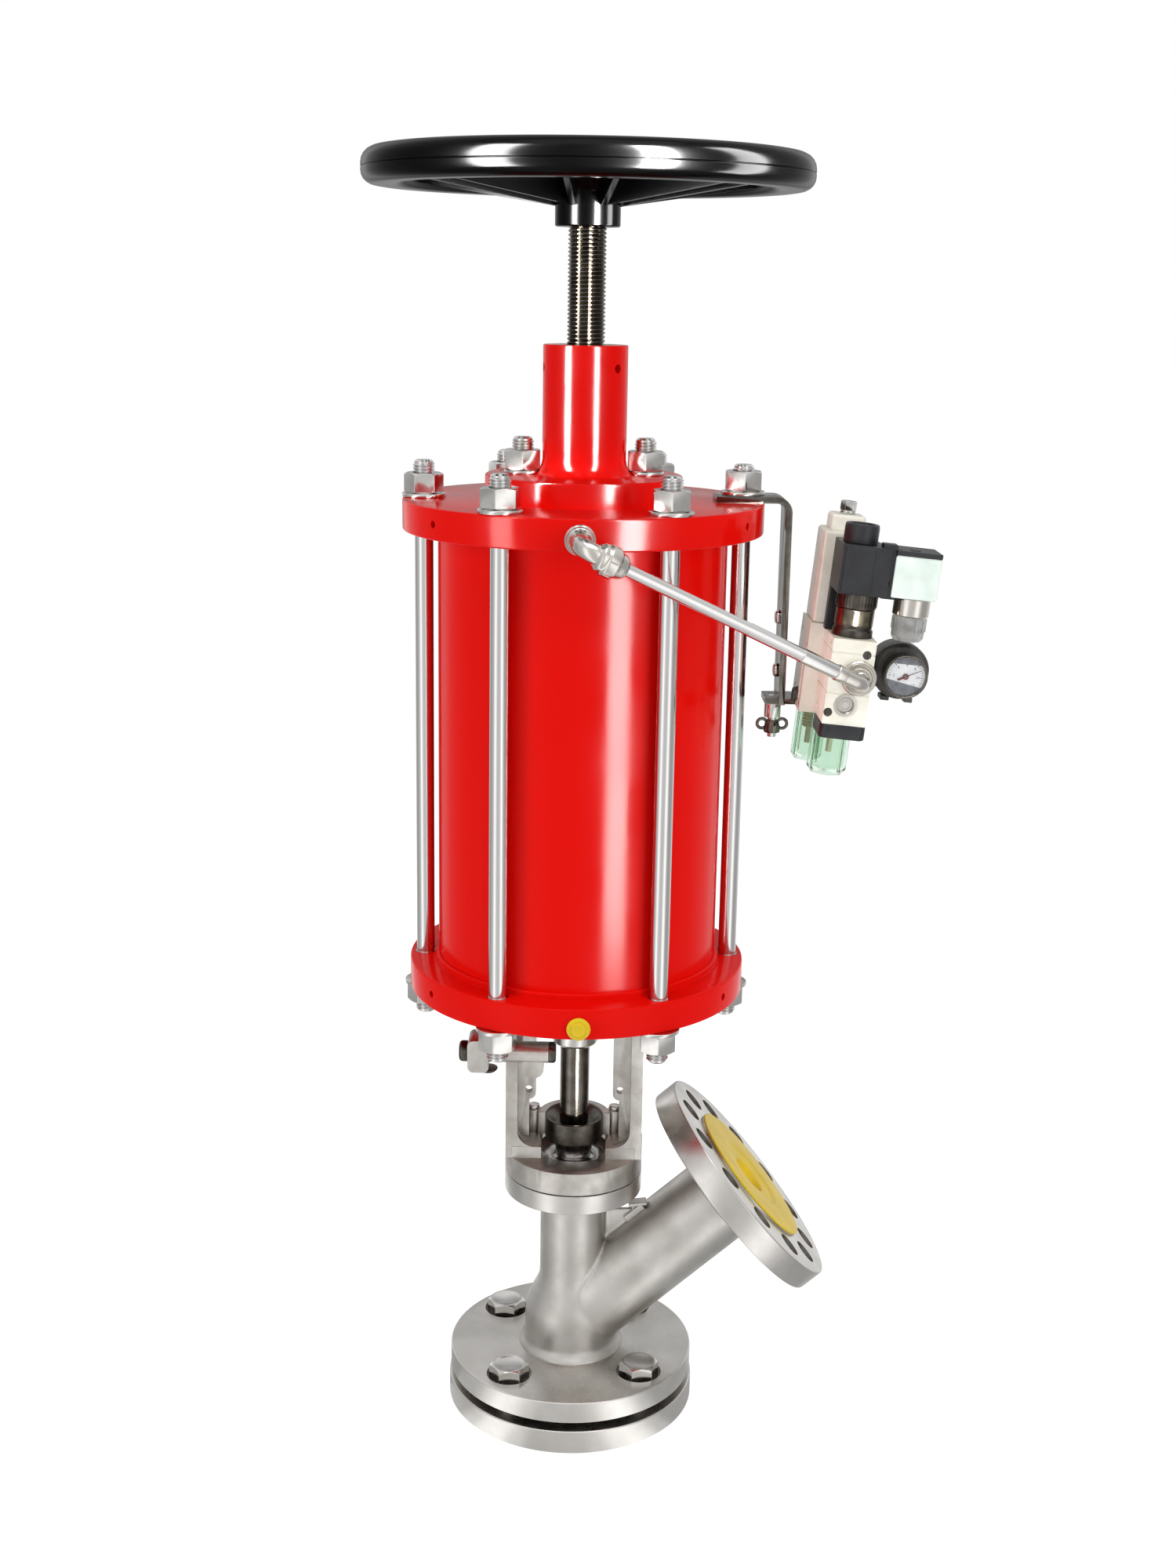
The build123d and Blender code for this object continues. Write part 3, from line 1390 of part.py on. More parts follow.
def gauge_seat():
    """The round room of the gauge's cast body beside the regulator."""
    place = Pos(gauge_x, gauge_body_front, gauge_z) * Rot(-90, 0, 0)
    return place * rod(gauge_body_diameter, 3 * gauge_body_depth)


def regulator_bonnet():
    height = regulator_bonnet_top - regulator_body_top
    x = regulator_left_x + regulator_bonnet_width / 2 + 1.0
    y = block_depth + 1.0
    bonnet = air_box(regulator_bonnet_width, regulator_bonnet_depth, height, x, y, regulator_body_top)
    bonnet = fillet(bonnet.edges().filter_by(Axis.Z), regulator_corner_rounding)
    centre_y = y + regulator_bonnet_depth / 2
    cap = Pos(adjusting_screw_shift, centre_y, regulator_bonnet_top) * Box(
        regulator_cap_width, regulator_cap_width, regulator_cap_height, align=bottom_up)
    bonnet += fillet(cap.edges().filter_by(Axis.Z), regulator_corner_rounding)
    depth = regulator_screw_hole_depth
    bonnet -= rod(adjusting_screw_diameter, depth, regulator_bonnet_top + regulator_cap_height - depth,
                  adjusting_screw_shift, centre_y)
    return air_frame * bonnet


def adjusting_screw():
    z = regulator_bonnet_top + regulator_cap_height
    y = block_depth + 1.0 + regulator_bonnet_depth / 2
    x = adjusting_screw_shift
    shank_diameter = adjusting_screw_diameter - 2 * running_clearance
    screw = rod(shank_diameter, adjusting_screw_length, z - adjusting_screw_reach, x, y)
    screw += rod(adjusting_screw_flange_diameter, adjusting_screw_flange_height, z + seat_gap, x, y)
    head_z = z + seat_gap + adjusting_screw_flange_height
    head = Pos(x, y, head_z) * hex_nut(adjusting_screw_head, adjusting_screw_head_height, 0)
    return air_frame * (screw + head)


def bowl_places():
    return (
        (bowl_shift_x, block_depth + bowl_shift_y, bowl_diameter),
        (small_bowl_shift_x, block_depth + small_bowl_shift_y, small_bowl_diameter),
    )


def filter_bowls():
    bowls = []
    for (x, y, diameter), height in zip(bowl_places(), (bowl_height, small_bowl_height)):
        bottom = regulator_body_bottom - height
        outer = rod(diameter, height, bottom, x, y)
        outer = fillet(outer.edges().group_by(Axis.Z)[0], diameter * bowl_outer_rounding_share)
        inner = rod(diameter - 2 * bowl_wall, height - bowl_wall, bottom + bowl_wall, x, y)
        inner = fillet(inner.edges().group_by(Axis.Z)[0], diameter * bowl_inner_rounding_share)
        bowls.append(air_frame * (outer - inner))
    return bowls


def filter_elements():
    pieces = []
    top = regulator_body_bottom - bowl_collar_height
    for x, y, diameter in bowl_places():
        height = element_height * diameter / bowl_diameter
        piece = rod(element_diameter, height, top - height, x, y)
        stem_height = height * element_stem_share
        piece += rod(element_stem_diameter, stem_height, top - height - stem_height, x, y)
        pieces.append(air_frame * piece)
    return pieces


def gauge_body():
    """The cast relay body behind the gauge."""
    place = Pos(gauge_x, gauge_body_front, gauge_z) * Rot(-90, 0, 0)
    body = place * rod(gauge_body_diameter, gauge_body_depth + gauge_body_extra_depth)
    body = chamfer(body.edges().group_by(Axis.Y)[0], gauge_body_chamfer)
    body += air_box(gauge_foot_width, gauge_foot_depth, gauge_foot_width, gauge_x + gauge_foot_shift,
                    gauge_body_front + gauge_foot_inset, gauge_z - gauge_foot_drop)
    block_side = air_box(block_width + 2 * seat_gap, block_depth, block_height, 0, 0, -block_height / 2)
    body -= block_side
    return air_frame * body


def gauge_place():
    return air_frame * Pos(gauge_x, gauge_body_front, gauge_z) * Rot(90, 0, 0)


def gauge_dial_level():
    return gauge_case_depth - gauge_lens_thickness - gauge_rim_depth


def gauge_case():
    case = rod(gauge_case_diameter, gauge_case_depth)
    case = fillet(case.edges().group_by(Axis.Z)[-1], gauge_case_rounding)
    case -= rod(gauge_dial_diameter, gauge_case_depth, gauge_dial_level())
    return gauge_place() * case


def gauge_dial():
    dial = rod(gauge_dial_diameter - 2 * running_clearance, gauge_dial_thickness, gauge_dial_level())
    dial += rod(gauge_pin_diameter, gauge_pin_height, gauge_dial_level())
    return gauge_place() * dial


def gauge_pointer():
    z = gauge_dial_level() + gauge_dial_thickness + gauge_pointer_rise
    thickness = gauge_pointer_thickness
    pointer = rod(gauge_pointer_boss_diameter, thickness, z)
    middle_x = gauge_pointer_length / 2 + gauge_pointer_start
    pointer += block(gauge_pointer_length, gauge_pointer_width, thickness, middle_x, 0, z)
    pointer += block(gauge_pointer_tail_length, gauge_pointer_width, thickness, gauge_pointer_tail_x, 0, z)
    pointer -= rod(gauge_pin_diameter + 2 * running_clearance, thickness, z)
    return gauge_place() * Rot(0, 0, gauge_pointer_angle) * pointer


def gauge_lens():
    z = gauge_case_depth - gauge_lens_thickness
    return gauge_place() * rod(gauge_dial_diameter - 2 * running_clearance, gauge_lens_thickness, z)


# Air line with its two end fittings
def line_points():
    start = Vector(line_port_x, -top_head_diameter / 2 - running_clearance, line_port_z)
    corner = Vector(line_port_x, line_corner_y, line_port_z)
    port = air_frame * Pos(upper_port_x, 0, upper_port_z)
    end = Vector(port.position.X, port.position.Y, port.position.Z)
    block_corner = Vector(end.X, line_block_corner_y, end.Z)
    return start, corner, block_corner, end


def bar_between(a, b, diameter, inset_a=0.0, inset_b=0.0):
    direction = (b - a).normalized()
    start = a + direction * inset_a
    length = (b - a).length - inset_a - inset_b
    return Plane(origin=start, z_dir=direction) * rod(diameter, length)


def bent_bar(start, corner, end, diameter):
    """A round bar that turns at a corner with a smooth bend."""
    path = FilletPolyline(start, corner, end, radius=line_bend_radius)
    section = Plane(origin=path @ 0, z_dir=path % 0) * Circle(diameter / 2)
    return sweep(section, path)


def tube_fittings():
    start, corner, block_corner, end = line_points()
    along = (block_corner - corner).normalized()
    back = along * -1
    shank_depth = block_port_depth - 2.0
    inward = Vector(0, 1, 0)
    elbow = bent_bar(start, corner, corner + along * line_head_leg, line_neck_diameter)
    collar = bar_between(start, start - inward * line_collar_length, line_collar_diameter)
    nut_place = Plane(origin=corner + along * (line_head_leg - line_union_overlap), z_dir=along)
    union = nut_place * hex_nut(line_union_across_flats, line_union_length, 0)
    shank = bar_between(start, start + inward * shank_depth, line_neck_diameter - 2 * running_clearance)
    head_fitting = elbow + collar + union + shank
    head_fitting -= bar_between(corner + along * line_head_leg, block_corner, line_tube_diameter)
    knee = bent_bar(end, block_corner, block_corner + back * line_block_leg, line_sleeve_diameter)
    dish = bar_between(end, end - inward * line_dish_depth, line_dish_diameter)
    neck = bar_between(end, end - inward * line_dish_depth * 1.5, line_neck_diameter)
    inner = bar_between(end, end + inward * shank_depth, block_port_diameter - 2 * running_clearance)
    block_fitting = knee + dish + neck + inner
    block_fitting -= bar_between(block_corner + back * line_head_leg, corner, line_tube_diameter)
    return [head_fitting, block_fitting]


def air_tube():
    start, corner, block_corner, end = line_points()
    return bar_between(corner, block_corner, line_tube_diameter, line_head_leg, line_head_leg)


def port_plug():
    port_z = lower_head_bottom_z + plug_head + plug_diameter / 4
    place = Pos(0, -lower_head_diameter / 2 - seat_gap, port_z) * Rot(90, 0, 0)
    head = rod(plug_diameter, plug_head)
    head = chamfer(head.edges().group_by(Axis.Z)[-1], plug_chamfer)
    shank = rod(plug_shank_diameter - 2 * running_clearance, plug_shank_length, -plug_shank_length)
    return place * (head + shank)


pieces = {
    "tank_flange": tank_pad,
    "flange_gasket": flange_gasket,
    "body_bolts": body_bolts,
    "valve_body": valve_body,
    "outlet_flange": outlet_flange,
    "outlet_cover": outlet_cover,
    "bonnet_gasket": bonnet_gasket,
    "stuffing_box": stuffing_box,
    "packing_rings": packing_rings,
    "gland_follower": gland_follower,
    "gland_ring": gland_ring,
    "gland_clamp": gland_clamp,
    "gland_screws": gland_screws,
    "yoke": yoke,
    "clamp_bracket": clamp_bracket,
    "clamp_bolts": clamp_bolts,
    "lower_head": lower_head,
    "cylinder_tube": cylinder_tube,
    "top_head": top_head,
    "cylinder_seals": cylinder_seals,
    "tie_rods": tie_rods,
    "rod_washers": rod_washers,
    "rod_nuts": rod_nuts,
    "rod_bush": rod_bush,
    "piston": piston,
    "piston_seal": piston_seal,
    "piston_nut": piston_nut,
    "stem": stem,
    "valve_disc": valve_disc,
    "override_housing": override_housing,
    "housing_studs": housing_studs,
    "spindle_nut": spindle_nut,
    "spindle": spindle,
    "thrust_pad": thrust_pad,
    "handwheel": handwheel,
    "wheel_nut": wheel_nut,
    "mounting_strip": mounting_strip,
    "strip_screws": strip_screws,
    "wing_bolt": wing_bolt,
    "wing_nut": wing_nut,
    "valve_block": valve_block,
    "block_end_cap": block_end_cap,
    "armature_tube": armature_tube,
    "coil": coil,
    "coil_nut": coil_nut,
    "connector": connector,
    "cable_gland": cable_gland,
    "regulator_body": regulator_body,
    "regulator_bonnet": regulator_bonnet,
    "adjusting_screw": adjusting_screw,
    "filter_bowls": filter_bowls,
    "filter_elements": filter_elements,
    "gauge_body": gauge_body,
    "gauge_case": gauge_case,
    "gauge_dial": gauge_dial,
    "gauge_pointer": gauge_pointer,
    "gauge_lens": gauge_lens,
    "tube_fittings": tube_fittings,
    "air_tube": air_tube,
    "port_plug": port_plug,
}
for name, build_piece in pieces.items():
    save(name, build_piece())
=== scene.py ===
import json
import math

import bmesh
import bpy
from mathutils import Matrix, Vector

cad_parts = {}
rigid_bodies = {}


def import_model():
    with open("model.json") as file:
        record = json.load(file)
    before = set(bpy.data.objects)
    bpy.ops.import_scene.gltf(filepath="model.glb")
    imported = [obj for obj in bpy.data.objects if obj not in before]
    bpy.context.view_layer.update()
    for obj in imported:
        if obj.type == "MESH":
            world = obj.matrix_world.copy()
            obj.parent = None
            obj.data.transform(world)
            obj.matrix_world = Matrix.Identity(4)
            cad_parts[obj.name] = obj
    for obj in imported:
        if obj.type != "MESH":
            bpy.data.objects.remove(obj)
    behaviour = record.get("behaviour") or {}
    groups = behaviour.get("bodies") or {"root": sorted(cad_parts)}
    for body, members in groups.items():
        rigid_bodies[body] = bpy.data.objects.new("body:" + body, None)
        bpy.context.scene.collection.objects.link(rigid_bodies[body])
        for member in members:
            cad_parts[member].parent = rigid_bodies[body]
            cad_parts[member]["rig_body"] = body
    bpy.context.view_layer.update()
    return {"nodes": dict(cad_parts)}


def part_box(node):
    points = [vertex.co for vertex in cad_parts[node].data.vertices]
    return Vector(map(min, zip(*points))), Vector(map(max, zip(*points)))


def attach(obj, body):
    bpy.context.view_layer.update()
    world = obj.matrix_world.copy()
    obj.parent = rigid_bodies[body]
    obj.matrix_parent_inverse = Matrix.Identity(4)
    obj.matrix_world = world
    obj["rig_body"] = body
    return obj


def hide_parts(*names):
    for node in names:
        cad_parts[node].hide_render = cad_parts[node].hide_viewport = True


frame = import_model()
nodes = frame["nodes"]
scene = bpy.context.scene
MM = 0.001
TURN = 2 * math.pi
# Points this close are one: on a spun profile, and on a thread or a CAD node
SEAM = 0.001 * MM
CAD_SEAM = 0.002 * MM
# Cloud values where a finish reaches its first and its second tone
CLOUD_EDGES = (0.32, 0.7)


# Colour and shader helpers
def srgb(code):
    """Linear RGBA from an sRGB hex colour."""
    parts = [int(code[i:i + 2], 16) / 255 for i in (1, 3, 5)]
    linear = [c / 12.92 if c <= 0.04045 else ((c + 0.055) / 1.055) ** 2.4 for c in parts]
    return (*linear, 1.0)


def grey(value):
    """Linear RGBA of a plain value."""
    return (value, value, value, 1.0)


def add(tree, kind, links=(), inputs=(), **settings):
    """One shader node with its settings, its input values and its links from other nodes."""
    node = tree.nodes.new(kind)
    for key, value in settings.items():
        setattr(node, key, value)
    for key, value in inputs:
        node.inputs[key].default_value = value
    for key, output in links:
        tree.links.new(output, node.inputs[key])
    return node


def surface(name, colour, metallic, roughness, inputs=()):
    """A material with one Principled shader, its uniform values set on the shader itself."""
    material = bpy.data.materials.new(name)
    material.use_nodes = True
    shader = material.node_tree.nodes["Principled BSDF"]
    uniform = [("Base Color", srgb(colour)), ("Metallic", metallic), ("Roughness", roughness), *inputs]
    for key, value in uniform:
        shader.inputs[key].default_value = value
    return material, shader


def pattern(tree, size, stretch=(1, 1, 1), detail=3.0):
    """Cloudy value between 0 and 1 whose patches are about size mm across on the piece."""
    place = add(tree, "ShaderNodeTexCoord")
    scale = [axis / (size * MM) for axis in stretch]
    mapping = add(tree, "ShaderNodeMapping", [("Vector", place.outputs["Object"])], [("Scale", scale)])
    looks = [("Scale", 1.0), ("Detail", detail)]
    clouds = add(tree, "ShaderNodeTexNoise", [("Vector", mapping.outputs[0])], looks)
    return clouds.outputs[0]


def clouded(shader, socket, low, high, size, stretch=(1, 1, 1), detail=3.0):
    """Clouds about size mm across swing one of the shader's inputs between two values."""
    tree = shader.id_data
    blend = add(tree, "ShaderNodeValToRGB", [("Fac", pattern(tree, size, stretch, detail))])
    for stop, place, colour in zip(blend.color_ramp.elements, CLOUD_EDGES, (low, high)):
        stop.position = place
        stop.color = colour
    tree.links.new(blend.outputs[0], shader.inputs[socket])


def grained(shader, size, depth, strength, detail=3.0):
    """Grains about size mm across raise the surface by about depth mm."""
    tree = shader.id_data
    inputs = [("Strength", strength), ("Distance", depth * MM)]
    skin = add(tree, "ShaderNodeBump", [("Height", pattern(tree, size, detail=detail))], inputs)
    tree.links.new(skin.outputs[0], shader.inputs["Normal"])


# Finishes, each named for the real material and how its surface was made, and one of painted shade on the
# dial
def sprayed_red_enamel():
    """Two-pack gloss enamel, sprayed: deep even red under a clear wet skin with a faint orange peel."""
    material, shader = surface("sprayed_red_enamel", "#E40D06", 0.0, 0.12, [("Specular IOR Level", 0.07)])
    grained(shader, 6.0, 0.02, 0.15, detail=2.0)
    clouded(shader, "Roughness", grey(0.12), grey(0.2), 50.0)
    return material


def bead_blasted_stainless():
    """Stainless steel, glass-bead blasted after welding: pale satin grey with soft wide highlights."""
    material, shader = surface("bead_blasted_stainless", "#C4C1BC", 1.0, 0.42)
    clouded(shader, "Base Color", srgb("#B9B6B0"), srgb("#CFCCC8"), 26.0, detail=5.0)
    clouded(shader, "Roughness", grey(0.38), grey(0.5), 11.0, detail=6.0)
    grained(shader, 1.2, 0.05, 0.3)
    return material


def turned_stainless():
    """Stainless steel, turned in the lathe: satin with soft highlights and faint handling stains."""
    material, shader = surface("turned_stainless", "#D0CDC9", 1.0, 0.27)
    clouded(shader, "Base Color", srgb("#C2BFBA"), srgb("#D8D5D1"), 38.0, detail=5.0)
    clouded(shader, "Roughness", grey(0.24), grey(0.34), 9.0, detail=5.0)
    return material


def cast_stainless():
    """Stainless steel, investment cast and blasted: warmer grey with a fine sandy skin."""
    material, shader = surface("cast_stainless", "#C9C5BF", 1.0, 0.42)
    clouded(shader, "Base Color", srgb("#B3AEA7"), srgb("#D2CFCA"), 14.0, detail=6.0)
    clouded(shader, "Roughness", grey(0.33), grey(0.5), 9.0, detail=5.0)
    grained(shader, 1.3, 0.08, 0.45, detail=4.0)
    return material


def drawn_bright_steel():
    """Stainless bar, drawn and polished: near mirror with faint marks along its length."""
    material, shader = surface("drawn_bright_steel", "#D2D1D0", 1.0, 0.14)
    clouded(shader, "Roughness", grey(0.09), grey(0.24), 3.0, (3, 3, 0.12))
    return material


def machined_nut_steel():
    """Stainless nuts and bolts, machined: bright, slightly uneven from tool marks."""
    material, shader = surface("machined_nut_steel", "#CFCDCA", 1.0, 0.18)
    clouded(shader, "Base Color", srgb("#C6C3BF"), srgb("#D8D6D3"), 14.0)
    clouded(shader, "Roughness", grey(0.14), grey(0.22), 9.0)
    return material


def smoked_polished_band():
    """Nickel band under smoke-tinted lacquer: dark mirror with a brassy glint."""
    material, shader = surface("smoked_polished_band", "#6B655C", 1.0, 0.2)
    clouded(shader, "Base Color", srgb("#4E4A45"), srgb("#8B8069"), 9.0)
    return material


def shaded_dial_print():
    """Painted shade: slate-grey bands across the top and the bottom of the dial, standing for the shade that
    falls there.
    """
    material, shader = surface("shaded_dial_print", "#6C7077", 0.0, 0.5)
    clouded(shader, "Base Color", srgb("#5E6268"), srgb("#7C8087"), 5.0)
    return material


def oiled_ground_steel():
    """Ground steel under a dark oil film: dull mirror with brownish dark bands."""
    material, shader = surface("oiled_ground_steel", "#66615A", 1.0, 0.11)
    clouded(shader, "Base Color", srgb("#5A554E"), srgb("#757069"), 9.0, detail=4.0)
    return material


def black_oxide_steel():
    """Black-oxide steel, turned: near-black metal with a satin sheen."""
    material, shader = surface("black_oxide_steel", "#5A5651", 1.0, 0.3)
    clouded(shader, "Base Color", srgb("#48443F"), srgb("#69645D"), 7.0, detail=4.0)
    return material


def moulded_phenolic():
    """Black phenolic, compression moulded: jet black with a wet gloss."""
    material, shader = surface("moulded_phenolic", "#040404", 0.0, 0.16, [("Specular IOR Level", 0.05)])
    grained(shader, 16.0, 0.04, 0.2, detail=2.0)
    return material


def moulded_polyethylene():
    """Yellow polyethylene, injection moulded: waxy, slightly translucent, soft highlights."""
    skin = [("Subsurface Weight", 0.1), ("Subsurface Radius", (0.004, 0.003, 0.001))]
    material, shader = surface("moulded_polyethylene", "#E0C010", 0.0, 0.42, skin)
    clouded(shader, "Base Color", srgb("#D8B80B"), srgb("#E8C91B"), 22.0)
    return material


def cream_powder_coat():
    """Powder coat on die-cast aluminium: even cream, semi-gloss, fine orange peel."""
    material, shader = surface("cream_powder_coat", "#EEEBDD", 0.0, 0.36, [("Specular IOR Level", 0.25)])
    clouded(shader, "Base Color", srgb("#E5E1D1"), srgb("#F2F0E6"), 12.0)
    grained(shader, 1.4, 0.03, 0.3, detail=2.0)
    return material


def glass_filled_nylon():
    """Glass-filled nylon, moulded: charcoal black with a fine satin grain."""
    material, shader = surface("glass_filled_nylon", "#202124", 0.0, 0.4)
    clouded(shader, "Base Color", srgb("#191A1C"), srgb("#292A2E"), 14.0)
    grained(shader, 1.0, 0.04, 0.35)
    return material


def milky_polycarbonate():
    """Polycarbonate shell, moulded: pale mint white with a soft gloss."""
    skin = [("Subsurface Weight", 0.1), ("Subsurface Radius", (0.003, 0.004, 0.003))]
    material, shader = surface("milky_polycarbonate", "#E4EFE8", 0.0, 0.22, skin)
    clouded(shader, "Base Color", srgb("#D4E2DA"), srgb("#F0F6F2"), 18.0)
    return material


def clear_polycarbonate():
    """Clear polycarbonate bowl, moulded: thin and see-through with a faint green cast."""
    body = [("Transmission Weight", 0.97), ("IOR", 1.2)]
    material, shader = surface("clear_polycarbonate", "#DDEFE2", 0.0, 0.05, body)
    clouded(shader, "Roughness", grey(0.03), grey(0.16), 9.0, detail=4.0)
    return material


def smoky_nylon():
    """Natural nylon gland, moulded: smoky grey, half see-through."""
    body = [("Transmission Weight", 0.6), ("IOR", 1.3)]
    material, shader = surface("smoky_nylon", "#E6E6E4", 0.0, 0.16, body)
    clouded(shader, "Base Color", srgb("#C2C2C0"), srgb("#EDEDEB"), 8.0)
    return material


def grey_die_casting():
    """Zinc die casting, tumbled: dark grey, matt, slightly rough skin."""
    material, shader = surface("grey_die_casting", "#4C4B49", 0.6, 0.42)
    clouded(shader, "Base Color", srgb("#3F3E3C"), srgb("#5B5A57"), 10.0, detail=5.0)
    grained(shader, 1.3, 0.06, 0.4)
    return material


def nickel_plated_brass():
    """Nickel-plated brass, turned: warm bright mirror, softened by handling."""
    material, shader = surface("nickel_plated_brass", "#CFCBC4", 1.0, 0.16)
    clouded(shader, "Roughness", grey(0.1), grey(0.26), 6.0)
    return material


def printed_dial_card():
    """Printed aluminium dial: flat, slightly cool white."""
    material, shader = surface("printed_dial_card", "#E9EBED", 0.0, 0.55)
    clouded(shader, "Base Color", srgb("#E2E5E8"), srgb("#F1F2F3"), 6.0)
    return material


def printing_ink():
    """Screen-printed ink: flat charcoal."""
    material, shader = surface("printing_ink", "#2E3034", 0.0, 0.5)
    clouded(shader, "Roughness", grey(0.42), grey(0.6), 3.0)
    return material


def lacquered_pointer():
    """Lacquered brass pointer: red brown with a small sheen."""
    material, shader = surface("lacquered_pointer", "#6A2118", 0.0, 0.35)
    clouded(shader, "Roughness", grey(0.28), grey(0.42), 3.0)
    return material


def dial_glass():
    """Window glass: clear with sharp reflections."""
    return surface("dial_glass", "#FFFFFF", 0.0, 0.02, [("Transmission Weight", 1.0), ("IOR", 1.3)])[0]


def turned_bronze():
    """Bronze, turned: warm yellow-brown metal."""
    material, shader = surface("turned_bronze", "#A87C4A", 1.0, 0.3)
    clouded(shader, "Roughness", grey(0.22), grey(0.38), 6.0)
    return material


def braided_graphite():
    """Braided graphite and pressed fibre gasket: matt grey-black."""
    material, shader = surface("braided_graphite", "#2B2A29", 0.0, 0.8)
    grained(shader, 1.8, 0.1, 0.6, detail=2.0)
    return material


def turned_aluminium():
    """Aluminium, turned: pale cool metal."""
    material, shader = surface("turned_aluminium", "#C9CACC", 1.0, 0.3)
    clouded(shader, "Roughness", grey(0.22), grey(0.38), 8.0, (1, 1, 20))
    return material


def sintered_polyethylene():
    """Sintered filter element: pale buff, grainy."""
    material, shader = surface("sintered_polyethylene", "#CFC8AE", 0.0, 0.75)
    grained(shader, 1.0, 0.15, 0.8, detail=2.0)
    return material


red = sprayed_red_enamel()
blasted = bead_blasted_stainless()
turned = turned_stainless()
cast = cast_stainless()
bright = drawn_bright_steel()
nut_steel = machined_nut_steel()
oiled = oiled_ground_steel()
black_oxide = black_oxide_steel()
phenolic = moulded_phenolic()
yellow = moulded_polyethylene()
cream = cream_powder_coat()
nylon = glass_filled_nylon()
milky = milky_polycarbonate()
clear = clear_polycarbonate()
smoky = smoky_nylon()
die_cast = grey_die_casting()
nickel = nickel_plated_brass()
card = printed_dial_card()
ink = printing_ink()
# Painted shade for the bands across the top and the bottom of the dial
painted_shade_finish = shaded_dial_print()
smoked = smoked_polished_band()
pointer_red = lacquered_pointer()
glass = dial_glass()
bronze = turned_bronze()
graphite = braided_graphite()
aluminium = turned_aluminium()
filter_body = sintered_polyethylene()

finish_of = {
    "tank_flange": turned, "flange_gasket": graphite, "body_bolts": nut_steel, "valve_body": blasted,
    "outlet_flange": turned, "outlet_cover": yellow, "bonnet_gasket": graphite, "stuffing_box": turned,
    "packing_rings": graphite, "gland_follower": nut_steel, "gland_ring": black_oxide, "gland_clamp": cast,
    "gland_screws": nut_steel, "yoke": cast, "clamp_bracket": cast, "clamp_bolts": black_oxide,
    "lower_head": red, "cylinder_tube": red, "top_head": red, "cylinder_seals": graphite,
    "tie_rods": bright, "rod_washers": nut_steel, "rod_nuts": nut_steel, "rod_bush": nut_steel,
    "piston": aluminium, "piston_seal": graphite, "piston_nut": nut_steel, "stem": oiled,
    "valve_disc": oiled, "override_housing": red, "housing_studs": nut_steel, "spindle_nut": bronze,
    "spindle": oiled, "thrust_pad": bronze, "handwheel": phenolic, "wheel_nut": nut_steel,
    "mounting_strip": oiled, "strip_screws": nut_steel, "wing_bolt": nut_steel, "wing_nut": nut_steel,
    "valve_block": cream, "block_end_cap": nylon, "armature_tube": black_oxide, "coil": nylon,
    "coil_nut": nylon, "connector": milky, "cable_gland": smoky, "regulator_body": cream,
    "regulator_bonnet": cream, "adjusting_screw": nut_steel, "filter_bowls": clear,
    "filter_elements": filter_body, "gauge_body": die_cast, "gauge_case": nickel, "gauge_dial": card,
    "gauge_pointer": pointer_red, "gauge_lens": glass, "tube_fittings": nickel, "air_tube": bright,
    "port_plug": yellow,
}
for name, finish in finish_of.items():
    nodes[name].data.materials.clear()
    nodes[name].data.materials.append(finish)


# Shaping helpers; sizes are millimetres in the part's own frame
def spun(shape, profile, steps):
    """Spins a profile once round Z and closes its seam and its poles."""
    bmesh.ops.spin(shape, geom=profile, cent=(0, 0, 0), axis=(0, 0, 1), angle=TURN, steps=steps,
                   use_merge=True)
    bmesh.ops.remove_doubles(shape, verts=shape.verts, dist=SEAM)
    bmesh.ops.recalc_face_normals(shape, faces=shape.faces)
    return shape


def lathe(outline, steps=96):
    """A shape turned about Z from (radius, height) points; a third number rounds that corner."""
    shape = bmesh.new()
    corners = [shape.verts.new((point[0] * MM, 0, point[1] * MM)) for point in outline]
    pairs = zip(corners, corners[1:] + corners[:1])
    edges = [shape.edges.new(pair) for pair in pairs if pair[0].co.x + pair[1].co.x > 0]
    spun(shape, corners + edges, steps)
    for point in outline:
        if len(point) > 2:
            round_ring(shape, *point)
    return shape


def round_ring(shape, radius, height, width, segments=5):
    """Rounds the edges of a turned shape that lie at one radius and height."""
    ring = []
    for edge in shape.edges:
        reach = [(math.hypot(v.co.x, v.co.y) / MM, v.co.z / MM) for v in edge.verts]
        if all(abs(r - radius) < 0.02 and abs(z - height) < 0.02 for r, z in reach):
            ring.append(edge)
    bmesh.ops.bevel(shape, geom=ring, offset=width * MM, affect="EDGES", segments=segments, profile=0.5,
                    material=-1)


def bar(diameter, start, end, sides=32, far_diameter=None):
    """A round bar between two places, tapered where far_diameter is given."""
    shape = bmesh.new()
    low, high = Vector(start) * MM, Vector(end) * MM
    turn = (high - low).to_track_quat("Z", "X").to_matrix().to_4x4()
    near, far = diameter / 2 * MM, (far_diameter or diameter) / 2 * MM
    bmesh.ops.create_cone(shape, cap_ends=True, segments=sides, radius1=near, radius2=far,
                          depth=(high - low).length, matrix=Matrix.Translation((low + high) / 2) @ turn)
    return shape


def end_ring(shape, items):
    """The vertices among some geometry, and the edges that run between them."""
    verts = [item for item in items if isinstance(item, bmesh.types.BMVert)]
    return verts, [edge for edge in shape.edges if all(vert in verts for vert in edge.verts)]


